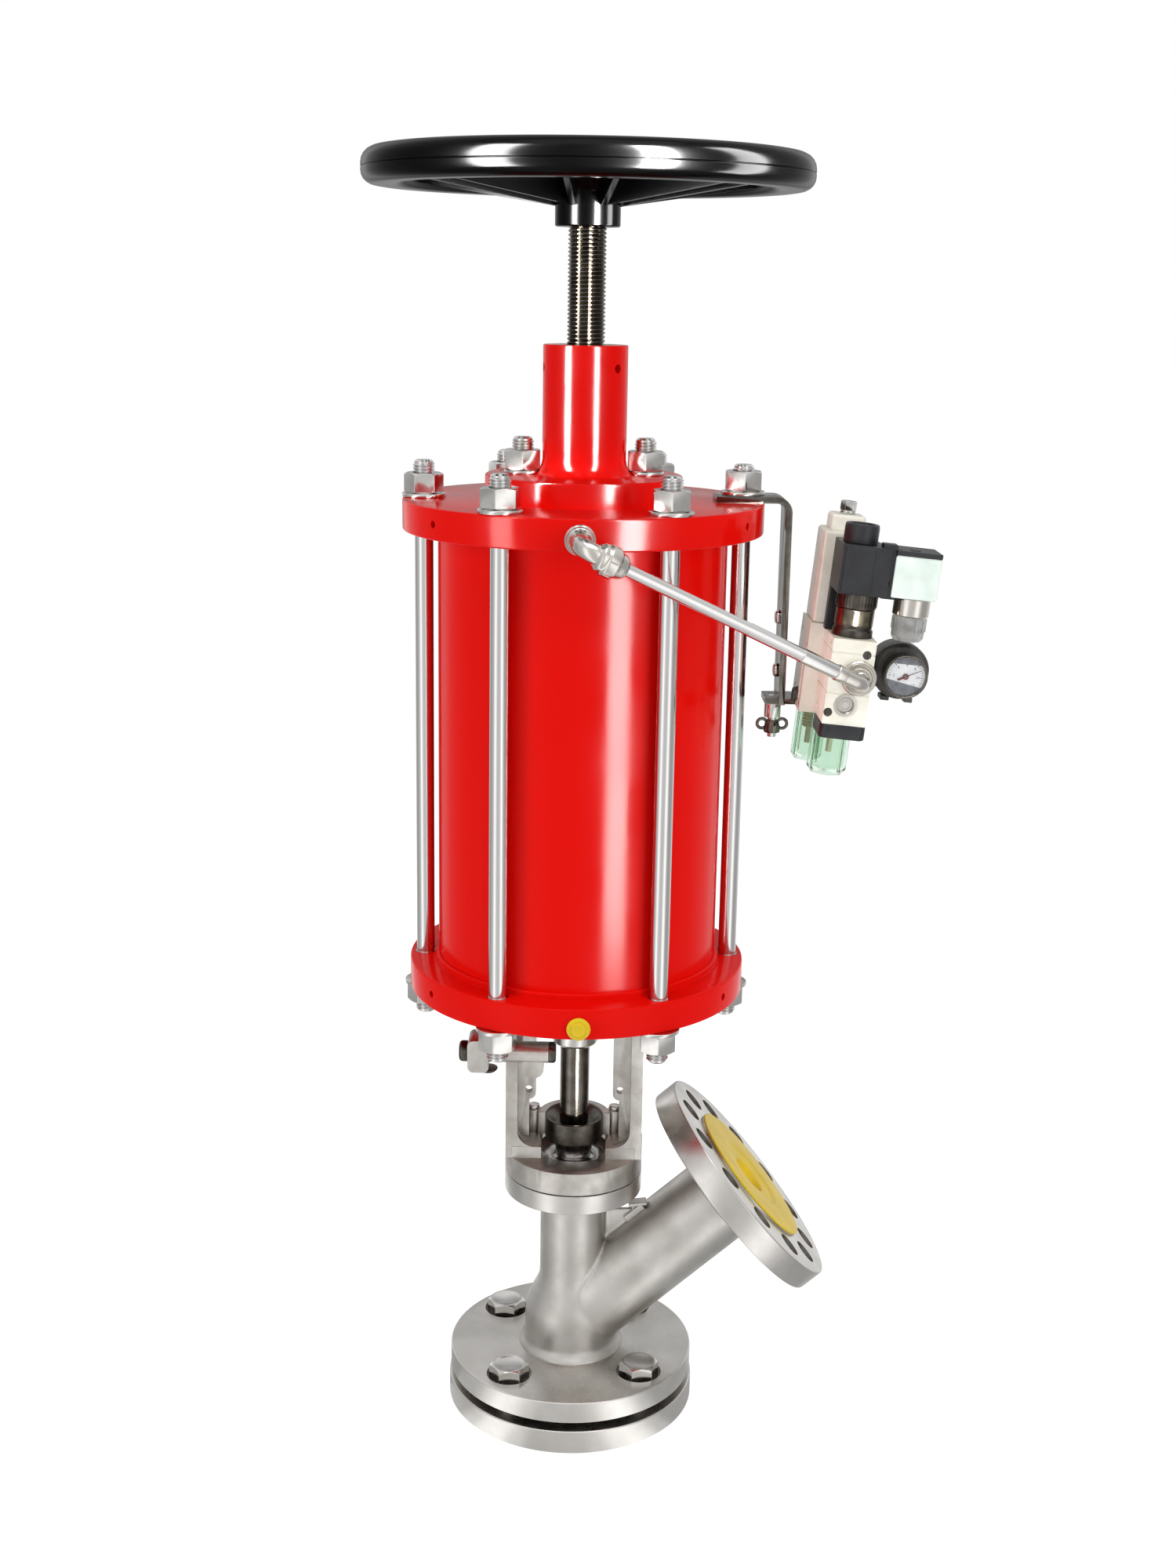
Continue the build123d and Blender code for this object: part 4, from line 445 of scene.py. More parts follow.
def bent_bar(diameter, start, corner, end, bend, sides=36, arc_steps=12):
    """A round bar that runs straight, turns in one arc and runs straight again."""
    shape = bmesh.new()
    start, corner, end = (Vector(place) * MM for place in (start, corner, end))
    ahead, away = (corner - start).normalized(), (end - corner).normalized()
    turn = ahead.angle(away)
    inward = (away - ahead * away.dot(ahead)).normalized()
    reach = bend * MM * math.tan(turn / 2)
    facing = ahead.to_track_quat("Z", "X").to_matrix().to_4x4()
    bmesh.ops.create_circle(shape, segments=sides, radius=diameter / 2 * MM,
                            matrix=Matrix.Translation(start) @ facing)
    verts, edges = end_ring(shape, bmesh.ops.extrude_edge_only(shape, edges=shape.edges[:])["geom"])
    bmesh.ops.translate(shape, verts=verts, vec=corner - ahead * reach - start)
    arc = bmesh.ops.spin(shape, geom=verts + edges, cent=corner - ahead * reach + inward * bend * MM,
                         axis=ahead.cross(inward), angle=turn, steps=arc_steps)
    verts, edges = end_ring(shape, arc["geom_last"])
    far = end_ring(shape, bmesh.ops.extrude_edge_only(shape, edges=edges)["geom"])[0]
    bmesh.ops.translate(shape, verts=far, vec=end - corner - away * reach)
    bmesh.ops.holes_fill(shape, edges=[edge for edge in shape.edges if edge.is_boundary])
    bmesh.ops.recalc_face_normals(shape, faces=shape.faces)
    return shape


def slab(width, depth, height, centre):
    """A box about a centre."""
    shape = bmesh.new()
    size = Matrix.Diagonal((width * MM, depth * MM, height * MM, 1))
    bmesh.ops.create_cube(shape, size=1.0, matrix=Matrix.Translation(Vector(centre) * MM) @ size)
    return shape


def sliced(shape, place, outward):
    """The shape cut flat at a place: what lies outward is gone and the cut is closed."""
    everything = shape.verts[:] + shape.edges[:] + shape.faces[:]
    bmesh.ops.bisect_plane(shape, geom=everything, plane_co=place, plane_no=outward, clear_outer=True)
    bmesh.ops.holes_fill(shape, edges=[edge for edge in shape.edges if edge.is_boundary])
    return shape


def thread(diameter, pitch, low, high, steps=32):
    """A screw thread about Z: one tooth wound up the bar and cut level at both ends."""
    shape = bmesh.new()
    root, crest = (diameter / 2 - pitch * 0.5) * MM, diameter / 2 * MM
    start = low - pitch
    tooth = [(root, 0.0), (crest, 0.42), (crest, 0.58), (root, 1.0)]
    points = [shape.verts.new((r, 0, (start + pitch * rise) * MM)) for r, rise in tooth]
    edges = [shape.edges.new(pair) for pair in zip(points, points[1:])]
    turns = math.ceil((high - low) / pitch) + 2
    bmesh.ops.spin(shape, geom=points + edges, cent=(0, 0, 0), axis=(0, 0, 1), angle=TURN * turns,
                   dvec=(0, 0, pitch * MM / steps), steps=steps * turns)
    bmesh.ops.remove_doubles(shape, verts=shape.verts, dist=CAD_SEAM)
    for level, side in ((low, -1), (high, 1)):
        sliced(shape, (0, 0, level * MM), (0, 0, side))
    bmesh.ops.recalc_face_normals(shape, faces=shape.faces)
    return shape


def moved(shape, matrix):
    """The shape after a turn or a shift."""
    bmesh.ops.transform(shape, matrix=matrix, verts=shape.verts)
    return shape


def shifted(x=0.0, y=0.0, z=0.0):
    """A shift in millimetres."""
    return Matrix.Translation(Vector((x, y, z)) * MM)


def turned_by(degrees, axis="Z"):
    """A turn about an axis through the origin."""
    return Matrix.Rotation(math.radians(degrees), 4, axis)


def joined(*shapes):
    """Several shapes as the shells of one."""
    whole = bmesh.new()
    for shape in shapes:
        mesh = bpy.data.meshes.new("part")
        shape.to_mesh(mesh)
        shape.free()
        whole.from_mesh(mesh)
        bpy.data.meshes.remove(mesh)
    return whole


def as_object(name, shape):
    """A shape as a named object of the scene."""
    mesh = bpy.data.meshes.new(name)
    shape.to_mesh(mesh)
    shape.free()
    thing = bpy.data.objects.new(name, mesh)
    scene.collection.objects.link(thing)
    return thing


def worked(shape, tools, operation="DIFFERENCE"):
    """The shape after each tool has been taken from it, joined to it or crossed with it."""
    blank = as_object("blank", shape)
    used = [as_object("tool", tool) for tool in tools]
    for tool in used:
        step = blank.modifiers.new("work", "BOOLEAN")
        step.operation = operation
        step.solver = "EXACT"
        step.object = tool
    result = bmesh.new()
    result.from_object(blank, bpy.context.evaluated_depsgraph_get())
    for thing in [blank] + used:
        mesh = thing.data
        bpy.data.objects.remove(thing)
        bpy.data.meshes.remove(mesh)
    return result


def finished(name, shape, finish, stands_for, edge=0.0, sharp=32):
    """Makes a piece that stands for CAD nodes, rides on their body and has its edges eased."""
    thing = as_object(name, shape)
    thing.data.materials.append(finish)
    thing.data.shade_smooth()
    if edge > 0:
        ease = thing.modifiers.new("eased_edges", "BEVEL")
        ease.width = edge * MM
        ease.segments = 2
        ease.limit_method = "ANGLE"
        ease.angle_limit = math.radians(sharp)
        ease.harden_normals = True
        ease.use_clamp_overlap = True
    else:
        thing.data.set_sharp_from_angle(angle=math.radians(sharp))
    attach(thing, nodes[stands_for[0]]["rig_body"])
    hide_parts(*stands_for)


def merged_copy(name):
    """A CAD node's own shape, joined up and with its flat faces whole again."""
    shape = bmesh.new()
    shape.from_mesh(nodes[name].data)
    bmesh.ops.remove_doubles(shape, verts=shape.verts, dist=CAD_SEAM)
    bmesh.ops.dissolve_limit(shape, angle_limit=math.radians(0.6), verts=shape.verts, edges=shape.edges)
    return shape


def dressed(name, edge):
    """The CAD node's own shape as a piece of its own, with its edges eased."""
    finished(name + "_dressed", merged_copy(name), finish_of[name], [name], edge=edge)


def on_circle(diameter, count, start=0.0):
    """Evenly spaced (x, y) places on a circle, from a start angle in degrees."""
    angles = [math.radians(start + 360 * index / count) for index in range(count)]
    return [(diameter / 2 * math.cos(a), diameter / 2 * math.sin(a)) for a in angles]


def drills(diameter, places, low, high, sides=32):
    """Upright bars at (x, y) places, as one tool that cuts a circle of holes."""
    return joined(*[bar(diameter, (x, y, low), (x, y, high), sides) for x, y in places])


# Levels, places and frames shared by several pieces
TANK_PAD_TOP = 16.5
BODY_FLANGE_LOW, BODY_FLANGE_TOP = 22.3, 37.5
BOLT_WELL_FLOOR = BODY_FLANGE_TOP - 7
BONNET_LOW, BONNET_TOP = 157.0, 170.5
OUTLET_FACE = 163.2
YOKE_FLANGE_TOP = 187.0
LOWER_HEAD_LOW, LOWER_HEAD_TOP = 309.5, 329.5
TOP_HEAD_LOW, TOP_HEAD_TOP = 615.3, 634.8
SPIGOT = 4.0
HOUSING_FLANGE_TOP = 650.3
HOUSING_TOP = 731.0
HEAD_EDGE = 1.2
BODY_BOLTS = on_circle(127, 4, 45)
TIE_RODS = on_circle(204, 6)
HOUSING_STUDS = on_circle(78, 2)
STUD_THREAD, STUD_PITCH = 14.0, 2.0
STUD_REACH = 23.3
TUBE_INNER, TUBE_OUTER = 87, 93
LINE_PORT_X, LINE_PORT_Z = -3.5, 622.5
YOKE_TURN = -1.5
BRANCH_FOOT, BRANCH_SLOPE = 57.6, 40.4
BODY_FRAME = turned_by(2.4)
BRANCH_FRAME = BODY_FRAME @ shifted(z=BRANCH_FOOT) @ turned_by(90 - BRANCH_SLOPE, "Y")
AIR_FRAME = shifted(165.5, -70.0, 530.6) @ turned_by(5.5, "Y")


# Tank pad and body
def hex_head(across, low, high):
    """A hexagon nut or bolt head with turned corners and a shallow turned face."""
    corner = across / math.sqrt(3)
    prism = bmesh.new()
    bmesh.ops.create_cone(prism, cap_ends=True, segments=6, radius1=corner * MM, radius2=corner * MM,
                          depth=(high - low) * MM, matrix=shifted(z=(low + high) / 2))
    fall = (corner - across / 2) * 0.75
    turning = lathe([(0, low - 1), (corner + 1, low - 1), (corner + 1, high - fall * 1.6),
                     (across / 2 - 0.6, high + 0.01), (across / 2 - 2.2, high + 0.01),
                     (across / 2 - 2.8, high - 0.35), (0, high - 0.35)], 64)
    return worked(prism, [turning], "INTERSECT")


def build_body_bolts():
    """Four hexagon bolts in their wells, each head turned a little further than the last."""
    bolts = []
    for index, (x, y) in enumerate(BODY_BOLTS):
        head = moved(hex_head(24.0, BOLT_WELL_FLOOR + 0.1, 45.0), turned_by(15 + 7 * index))
        shank = bar(16.0, (0, 0, 0.1), (0, 0, 31.0), 40)
        bolts.append(moved(joined(head, shank), BODY_FRAME @ shifted(x, y)))
    finished("hexagon_body_bolts", joined(*bolts), nut_steel, ["body_bolts"], edge=0.25)


def build_tank_flange():
    """Turned pad with a raised face and four bolt holes."""
    blank = lathe([(26, 0), (86, 0, 1.0), (86, TANK_PAD_TOP, 1.0), (51, TANK_PAD_TOP), (51, 18.5), (28, 18.5),
                   (26, TANK_PAD_TOP)], 144)
    pad = worked(blank, [drills(16.0, BODY_BOLTS, -2, 20)])
    finished("tank_pad", moved(pad, BODY_FRAME), turned, ["tank_flange"], edge=0.4)


def build_valve_body():
    """Body flange and bonnet collar, turned, and the welded hopper, neck and branch as one smooth shell."""
    low, top = BODY_FLANGE_LOW, BODY_FLANGE_TOP
    plate = lathe([(28.5, low - 2), (51, low - 2), (51, low), (85, low, 1.0), (85, top, 1.0),
                   (28.5, top)], 144)
    plate = worked(plate, [drills(18.0, BODY_BOLTS, low - 3, top + 2),
                           drills(31.0, BODY_BOLTS, BOLT_WELL_FLOOR, top + 5, 48)])
    collar = lathe([(18.5, BONNET_LOW), (47.5, BONNET_LOW, 0.8), (47.5, BONNET_TOP, 0.8), (32, BONNET_TOP),
                    (32, BONNET_TOP - 5), (18.5, BONNET_TOP - 5)], 128)
    flanges = moved(joined(plate, collar), BODY_FRAME)
    finished("body_flanges", flanges, turned, ["valve_body"], edge=0.4)
    to_branch = BODY_FRAME.inverted() @ BRANCH_FRAME
    hopper = lathe([(0, 30), (38.5, 30), (36.5, 38.5), (33.4, 41.5), (32.5, 44), (32.5, 60), (32.1, 66),
                    (30.6, 72), (27.4, 79), (24.2, 85), (22.8, 89.5), (22.5, 94), (22.5, 152), (23.4, 156),
                    (25.5, 158.5), (0, 158.5)], 96)
    branch = moved(bar(60.3, (0, 0, 4), (0, 0, 150), 96), to_branch)
    web = slab(44.0, 4.0, 50.0, (21.0, 0, 114.0))
    shell = worked(hopper, [branch, web], "UNION")
    throat = lathe([(0, 18), (28.5, 18), (28.5, 62), (26.5, 70), (19.5, 86), (18.5, 92), (18.5, 175),
                    (0, 175)], 72)
    passage = moved(bar(52.3, (0, 0, 0), (0, 0, 175), 72), to_branch)
    shell = worked(shell, [throat, passage])
    body = as_object("welded_shell", shell)
    remesh = body.modifiers.new("weld_fill", "REMESH")
    remesh.mode = "VOXEL"
    remesh.voxel_size = 1.1 * MM
    soften = body.modifiers.new("weld_dressing", "SMOOTH")
    soften.factor = 0.5
    soften.iterations = 9
    smooth = bmesh.new()
    smooth.from_object(body, bpy.context.evaluated_depsgraph_get())
    bpy.data.objects.remove(body)
    finished("hopper_neck_and_branch", moved(smooth, BODY_FRAME), blasted, ["valve_body"], sharp=180)


def build_body_lug():
    """The small bent rest on the upper side of the branch."""
    strap = slab(5.0, 9.0, 16.0, (-32.2, 0, 84.0))
    hook = moved(slab(2.6, 9.0, 13.0, (0, 0, 0)), shifted(-35.4, 0, 90.0) @ turned_by(35, "Y"))
    lug = moved(joined(strap, hook), BRANCH_FRAME)
    finished("branch_lug", lug, blasted, ["valve_body"], edge=0.8)


def build_outlet_flange():
    """Turned flange ring with twelve holes and its short hub."""
    back, front = 144.6, 162.4
    rim = lathe([(26.15, back), (82.5, back, 1.2), (82.5, front, 1.2), (51, front), (51, OUTLET_FACE),
                 (26.15, OUTLET_FACE)], 144)
    rim = worked(rim, [drills(17.5, on_circle(130, 12), 140, 170, 40)])
    hub = lathe([(29.9, 134.1), (32.0, 134.1), (36, 136.0, 1.0), (36, 145.0), (29.9, 145.0)], 96)
    finished("outlet_flange_ring", moved(joined(rim, hub), BRANCH_FRAME), turned, ["outlet_flange"], edge=0.4)


def build_port_plug():
    """Moulded plug of the lower air port: a rounded collar with a raised head and a shallow dimple."""
    head = 4.0
    collar = lathe([(0, -8.9), (5.3, -8.9), (5.3, 0.1), (7.0, 0.1), (7.5, 0.7, 0.4), (7.5, 1.6, 0.6),
                    (6.6, 2.2), (5.0, 2.3), (4.7, 3.5, 0.6), (3.6, head, 0.3), (2.6, 3.5), (0, 3.3)], 64)
    low, high = (Vector(corner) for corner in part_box("port_plug"))
    seat = Matrix.Translation(((low.x + high.x) / 2, low.y + head * MM, (low.z + high.z) / 2))
    finished("moulded_port_plug", moved(collar, seat @ turned_by(90, "X")), yellow, ["port_plug"], sharp=40)


def build_outlet_cover():
    """Thin moulded cover: a flat brim, a plug ring that holds it in the bore and a dished middle."""
    cover = lathe([(0, -9.0), (13.5, -9.0), (15.5, -2.5), (23.7, 0.3), (23.7, -12.0), (25.7, -12.0),
                   (25.7, 0.3), (51.5, 0.3), (51.5, 1.6, 0.6), (27.5, 1.6, 1.0), (25.0, 0.5, 0.8),
                   (14.2, -0.4, 0.9), (11.8, -7.0, 2.0), (0, -7.0)], 96)
    place = BRANCH_FRAME @ shifted(z=OUTLET_FACE)
    finished("transport_cover_moulding", moved(cover, place), yellow, ["outlet_cover"], sharp=40)


def build_yoke():
    """The cast yoke with short feet, so that its ring shows flat between them."""
    cut, level = 8.4, YOKE_FLANGE_TOP + 4.25
    sides = joined(*[slab(110.0, 50.0, cut, (0, side * 47.3, level)) for side in (-1, 1)])
    middle = slab(44.0, 96.0, cut, (0, 0, level))
    casting = worked(merged_copy("yoke"), [moved(tool, turned_by(YOKE_TURN)) for tool in (sides, middle)])
    finished("cast_yoke", casting, finish_of["yoke"], ["yoke"], edge=1.2)


def build_gland():
    """Gland ring with its hollow, the follower below it and the stem that runs through both."""
    bore, ring_low = 10.05, 194.5
    ring = lathe([(bore, ring_low), (19.8, ring_low, 0.5), (19.8, 209.5, 0.5), (17.6, 209.5), (13.0, 205.5),
                  (bore, 205.5)], 96)
    finished("turned_gland_ring", ring, black_oxide, ["gland_ring"])
    follower = lathe([(bore, 165.5), (14.9, 165.5), (14.9, 180.0), (12.0, 181.0, 0.3), (12.0, 184.3, 0.3),
                      (12.5, 184.3), (13.5, ring_low), (bore, ring_low)], 72)
    finished("turned_gland_follower", follower, bright, ["gland_follower"])
    shaft = lathe([(0, 22.1), (6, 22.1), (6, 30.5), (10, 30.5), (10, 212.9), (9.6, 212.9), (9.6, 213.7),
                   (10, 213.7), (10, 332.5), (8, 332.5), (8, 374.5, 1.0), (0, 374.5)], 64)
    finished("turned_stem", shaft, oiled, ["stem"])


# Fasteners with real threads
def stud(low, high, tips=(True, True)):
    """A threaded bar with smooth domed tips at its lower and upper ends."""
    tip = STUD_THREAD * 0.16
    radius = STUD_THREAD / 2 - STUD_PITCH * 0.45
    start = low + (tip if tips[0] else 0)
    stop = high - (tip if tips[1] else 0)
    parts = [thread(STUD_THREAD, STUD_PITCH, start, stop, 28)]
    if tips[1]:
        parts.append(lathe([(0, stop - 0.2), (radius, stop - 0.2), (radius, stop + tip * 0.5),
                            (radius - tip * 0.6, high), (0, high)], 28))
    if tips[0]:
        parts.append(lathe([(0, low), (radius - tip * 0.6, low), (radius, start - tip * 0.5),
                            (radius, start + 0.2), (0, start + 0.2)], 28))
    return joined(*parts)


def build_tie_rods():
    """Six plain rods, thicker in the heads and threaded at both ends."""
    rods = []
    for x, y in TIE_RODS:
        shank = bar(12.0, (0, 0, LOWER_HEAD_TOP - 3), (0, 0, TOP_HEAD_LOW + 3), 48)
        lower = stud(LOWER_HEAD_LOW - STUD_REACH, LOWER_HEAD_LOW + 4, (True, False))
        upper = stud(TOP_HEAD_TOP - 4, TOP_HEAD_TOP + STUD_REACH, (False, True))
        in_lower = bar(STUD_THREAD, (0, 0, LOWER_HEAD_LOW + 3), (0, 0, LOWER_HEAD_TOP))
        in_upper = bar(STUD_THREAD, (0, 0, TOP_HEAD_LOW), (0, 0, TOP_HEAD_TOP - 3))
        rods.append(moved(joined(shank, lower, upper, in_lower, in_upper), shifted(x, y)))
    finished("threaded_tie_rods", joined(*rods), bright, ["tie_rods"])


def build_housing_studs():
    """Two studs, threaded all along, that hold the housing on the top head."""
    upright = (TOP_HEAD_LOW, HOUSING_FLANGE_TOP + STUD_REACH)
    studs = [moved(stud(*upright), shifted(x, y)) for x, y in HOUSING_STUDS]
    finished("threaded_housing_studs", joined(*studs), nut_steel, ["housing_studs"])


def build_spindle():
    """Override spindle: plain below, threaded through its nut, plain where the wheel sits."""
    screw = thread(24.0, 2.5, 677.0, 802.5, 40)
    plain = lathe([(0, 445), (6, 445), (6, 454), (10, 454), (10, 678), (0, 678)], 40)
    end = lathe([(0, 802), (8, 802), (8, 851, 1.0), (0, 851)], 32)
    finished("threaded_spindle", joined(screw, plain, end), oiled, ["spindle"])


# Cylinder
def rim_holes(diameter, level, angles):
    """Small blind holes round the rim of a head, as one tool."""
    tools = []
    for angle in angles:
        hole = bar(4.5, (diameter / 2 - 8, 0, level), (diameter / 2 + 5, 0, level), 24)
        tools.append(moved(hole, turned_by(angle)))
    return joined(*tools)


def build_heads():
    """Lower and top head, each with a groove for the tube, rim holes and an air port."""
    low, top = LOWER_HEAD_LOW, LOWER_HEAD_TOP
    lower = lathe([(15.5, low), (112, low, HEAD_EDGE), (112, top, HEAD_EDGE), (95.5, top),
                   (95.5, top + 4, 0.8), (TUBE_OUTER, top + 4), (TUBE_OUTER, top - SPIGOT),
                   (86.9, top - SPIGOT), (86.9, top), (15.5, top)], 192)
    port = bar(11.0, (0, -100, 317.25), (0, -120, 317.25), 32)
    lower = worked(lower, [rim_holes(224, 319.5, (-148, -32, 148, 32)), port])
    finished("enamelled_lower_head", lower, red, ["lower_head"], edge=0.3)
    low, top = TOP_HEAD_LOW, TOP_HEAD_TOP
    upper = lathe([(10.1, low), (TUBE_INNER, low), (TUBE_INNER, low + SPIGOT), (93.1, low + SPIGOT),
                   (93.1, low), (115.5, low, HEAD_EDGE), (115.5, top, HEAD_EDGE), (10.1, top)], 192)
    line_port = bar(11.0, (LINE_PORT_X, -90, LINE_PORT_Z), (LINE_PORT_X, -120, LINE_PORT_Z), 32)
    upper = worked(upper, [rim_holes(231, 625.05, (-143, -30, 143, 30)), line_port])
    finished("enamelled_top_head", upper, red, ["top_head"], edge=0.3)


def build_tube():
    """Plain cylinder tube."""
    low, top = 327.0, 617.8
    tube = lathe([(TUBE_INNER, low), (TUBE_OUTER, low), (TUBE_OUTER, top), (TUBE_INNER, top)], 192)
    finished("enamelled_tube", tube, red, ["cylinder_tube"])


def build_housing():
    """Override housing: flange with two spot-faced holes, a hollow fillet and a barrel with screw holes."""
    low, top = TOP_HEAD_TOP, HOUSING_FLANGE_TOP
    shell = lathe([(18.5, low), (63, low), (63, top, HEAD_EDGE), (33, top), (31.0, top + 1.2),
                   (29.2, top + 3.2), (27.6, top + 6.2), (26.75, top + 9.5), (26.75, HOUSING_TOP, 0.8),
                   (18.5, HOUSING_TOP, 0.8)], 128)
    tools = []
    for x, y in HOUSING_STUDS:
        tools.append(bar(26.0, (x, y, top), (x, y, top + 20), 48))
        tools.append(bar(STUD_THREAD, (x, y, low - 2), (x, y, top + 2), 32))
    for angle in (-42.0, -170.0):
        tools.append(moved(bar(5.5, (10, 0, 717.0), (40, 0, 717.0), 28), turned_by(angle)))
    shell = worked(shell, tools)
    finished("enamelled_housing", shell, red, ["override_housing"], edge=0.3)


# Handwheel
def build_handwheel():
    """Moulded wheel with a fine parting groove round its rim and six arms, each with two ribs below."""
    rim_low, rim_top = 824.7, 846.7
    rim = lathe([(139.5, rim_low, 8.0), (139.5, 834.3), (138.9, 834.6), (138.9, 834.9), (139.5, 835.2),
                 (139.5, rim_top, 9.5), (114.5, rim_top, 6.0), (114.5, rim_low, 6.0)], 192)
    hub = lathe([(8, 802), (20.3, 802, 1.2), (20.3, 823), (32, 833), (32, 838, 1.0), (8, 838)], 96)
    near_hub = 60 * MM
    arms = []
    for index in range(6):
        plate = slab(102.0, 30.0, 4.0, (67.0, 0, 836.0))
        for vert in plate.verts:
            vert.co.y *= 0.75 if vert.co.x < near_hub else 1.15
        ribs = []
        for side in (-1, 1):
            rib = slab(100.0, 3.5, 13.0, (66.0, 0, 828.5))
            for vert in rib.verts:
                spread, foot = (9.5, 814.0) if vert.co.x < near_hub else (15.5, 829.0)
                vert.co.y += side * spread * MM
                if vert.co.z < 828 * MM:
                    vert.co.z = foot * MM
            ribs.append(rib)
        arms.append(moved(joined(plate, *ribs), turned_by(60 * index + 30)))
    finished("moulded_handwheel", joined(rim, hub, *arms), phenolic, ["handwheel"], edge=0.8)


# Air set, drawn in the tilted frame of the valve block: x to the right, y back from its front face
BLOCK_PORT = (5.0, 4.0)
BUSH_PORT = (-0.6, -14.2)
BLOCK_SCREWS = ((8.4, 18.4), (-10.8, -19.6))
BLOCK_PLUGS = ((9.0, 23.0), (9.0, -3.0), (30.0, -20.0))
REGULATOR_PLUGS = ((46.0, 14.0), (46.0, -25.0), (73.0, 20.0), (73.0, -18.0))
GAUGE_PLACE = (35.0, 20.0, 7.0)
BOWLS = ((2.0, 53.5), (-9.5, 74.0))
BOWL_TOP = -29.0
ELBOW_BEND = 9.0


def build_valve_block():
    """Die-cast block: fine joint lines, two ports, sunk screws, side plugs and a threaded bush."""
    block = slab(27.0, 40.0, 54.0, (0, 20.0, 0))
    grooves = []
    for level in (18.5, -7.3):
        core = slab(25.8, 38.8, 2.0, (0, 20.0, level))
        grooves.append(worked(slab(29.0, 42.0, 0.6, (0, 20.0, level)), [core]))
    ports = [bar(11.0, (x, -1, z), (x, 12, z), 40) for x, z in (BLOCK_PORT, BUSH_PORT)]
    pockets = [bar(5.6, (x, -1, z), (x, 1.6, z), 28) for x, z in BLOCK_SCREWS]
    side_pockets = [bar(3.4, (-14.5, y, z), (-12.2, y, z), 24) for y, z in BLOCK_PLUGS]
    block = worked(block, grooves + ports + [joined(*pockets, *side_pockets)])
    finished("cast_valve_block", moved(block, AIR_FRAME), cream, ["valve_block"], edge=0.35)
    upper, lower = BLOCK_SCREWS
    screws = [bar(5.2, (x, 0.5, z), (x, 1.7, z), 28) for x, z in BLOCK_SCREWS]
    slots = [slab(1.0, 1.4, 4.4, (upper[0], 0.4, upper[1])), slab(3.6, 1.4, 1.0, (lower[0], 0.4, lower[1]))]
    plugs = [bar(3.2, (-13.0, y, z), (-12.1, y, z), 20) for y, z in BLOCK_PLUGS]
    hardware = joined(worked(joined(*screws), slots), *plugs)
    finished("block_screws", moved(hardware, AIR_FRAME), black_oxide, ["valve_block"], edge=0.15)
    bush = [lathe([(5.5, 0.0), (7.2, 0.0, 0.4), (7.2, 0.7, 0.2), (5.5, 0.7)], 64)]
    for ridge in range(-7, 0):
        foot = 1.1 * ridge
        bush.append(lathe([(4.95, 0.4 + foot), (5.48, -0.1 + foot), (5.48, 0.9 + foot)], 48))
    bush.append(lathe([(0, -3.2), (5.45, -3.2), (5.45, -1.6, 0.2), (4.6, -1.6), (4.4, -2.1), (3.9, -2.1),
                       (3.7, -1.6), (3.1, -1.6), (2.9, -2.1), (2.4, -2.1), (2.2, -1.6), (0, -1.6)], 56))
    place = AIR_FRAME @ shifted(BUSH_PORT[0], 0, BUSH_PORT[1]) @ turned_by(90, "X")
    finished("threaded_port_bush", moved(joined(*bush), place), nickel, ["valve_block"])


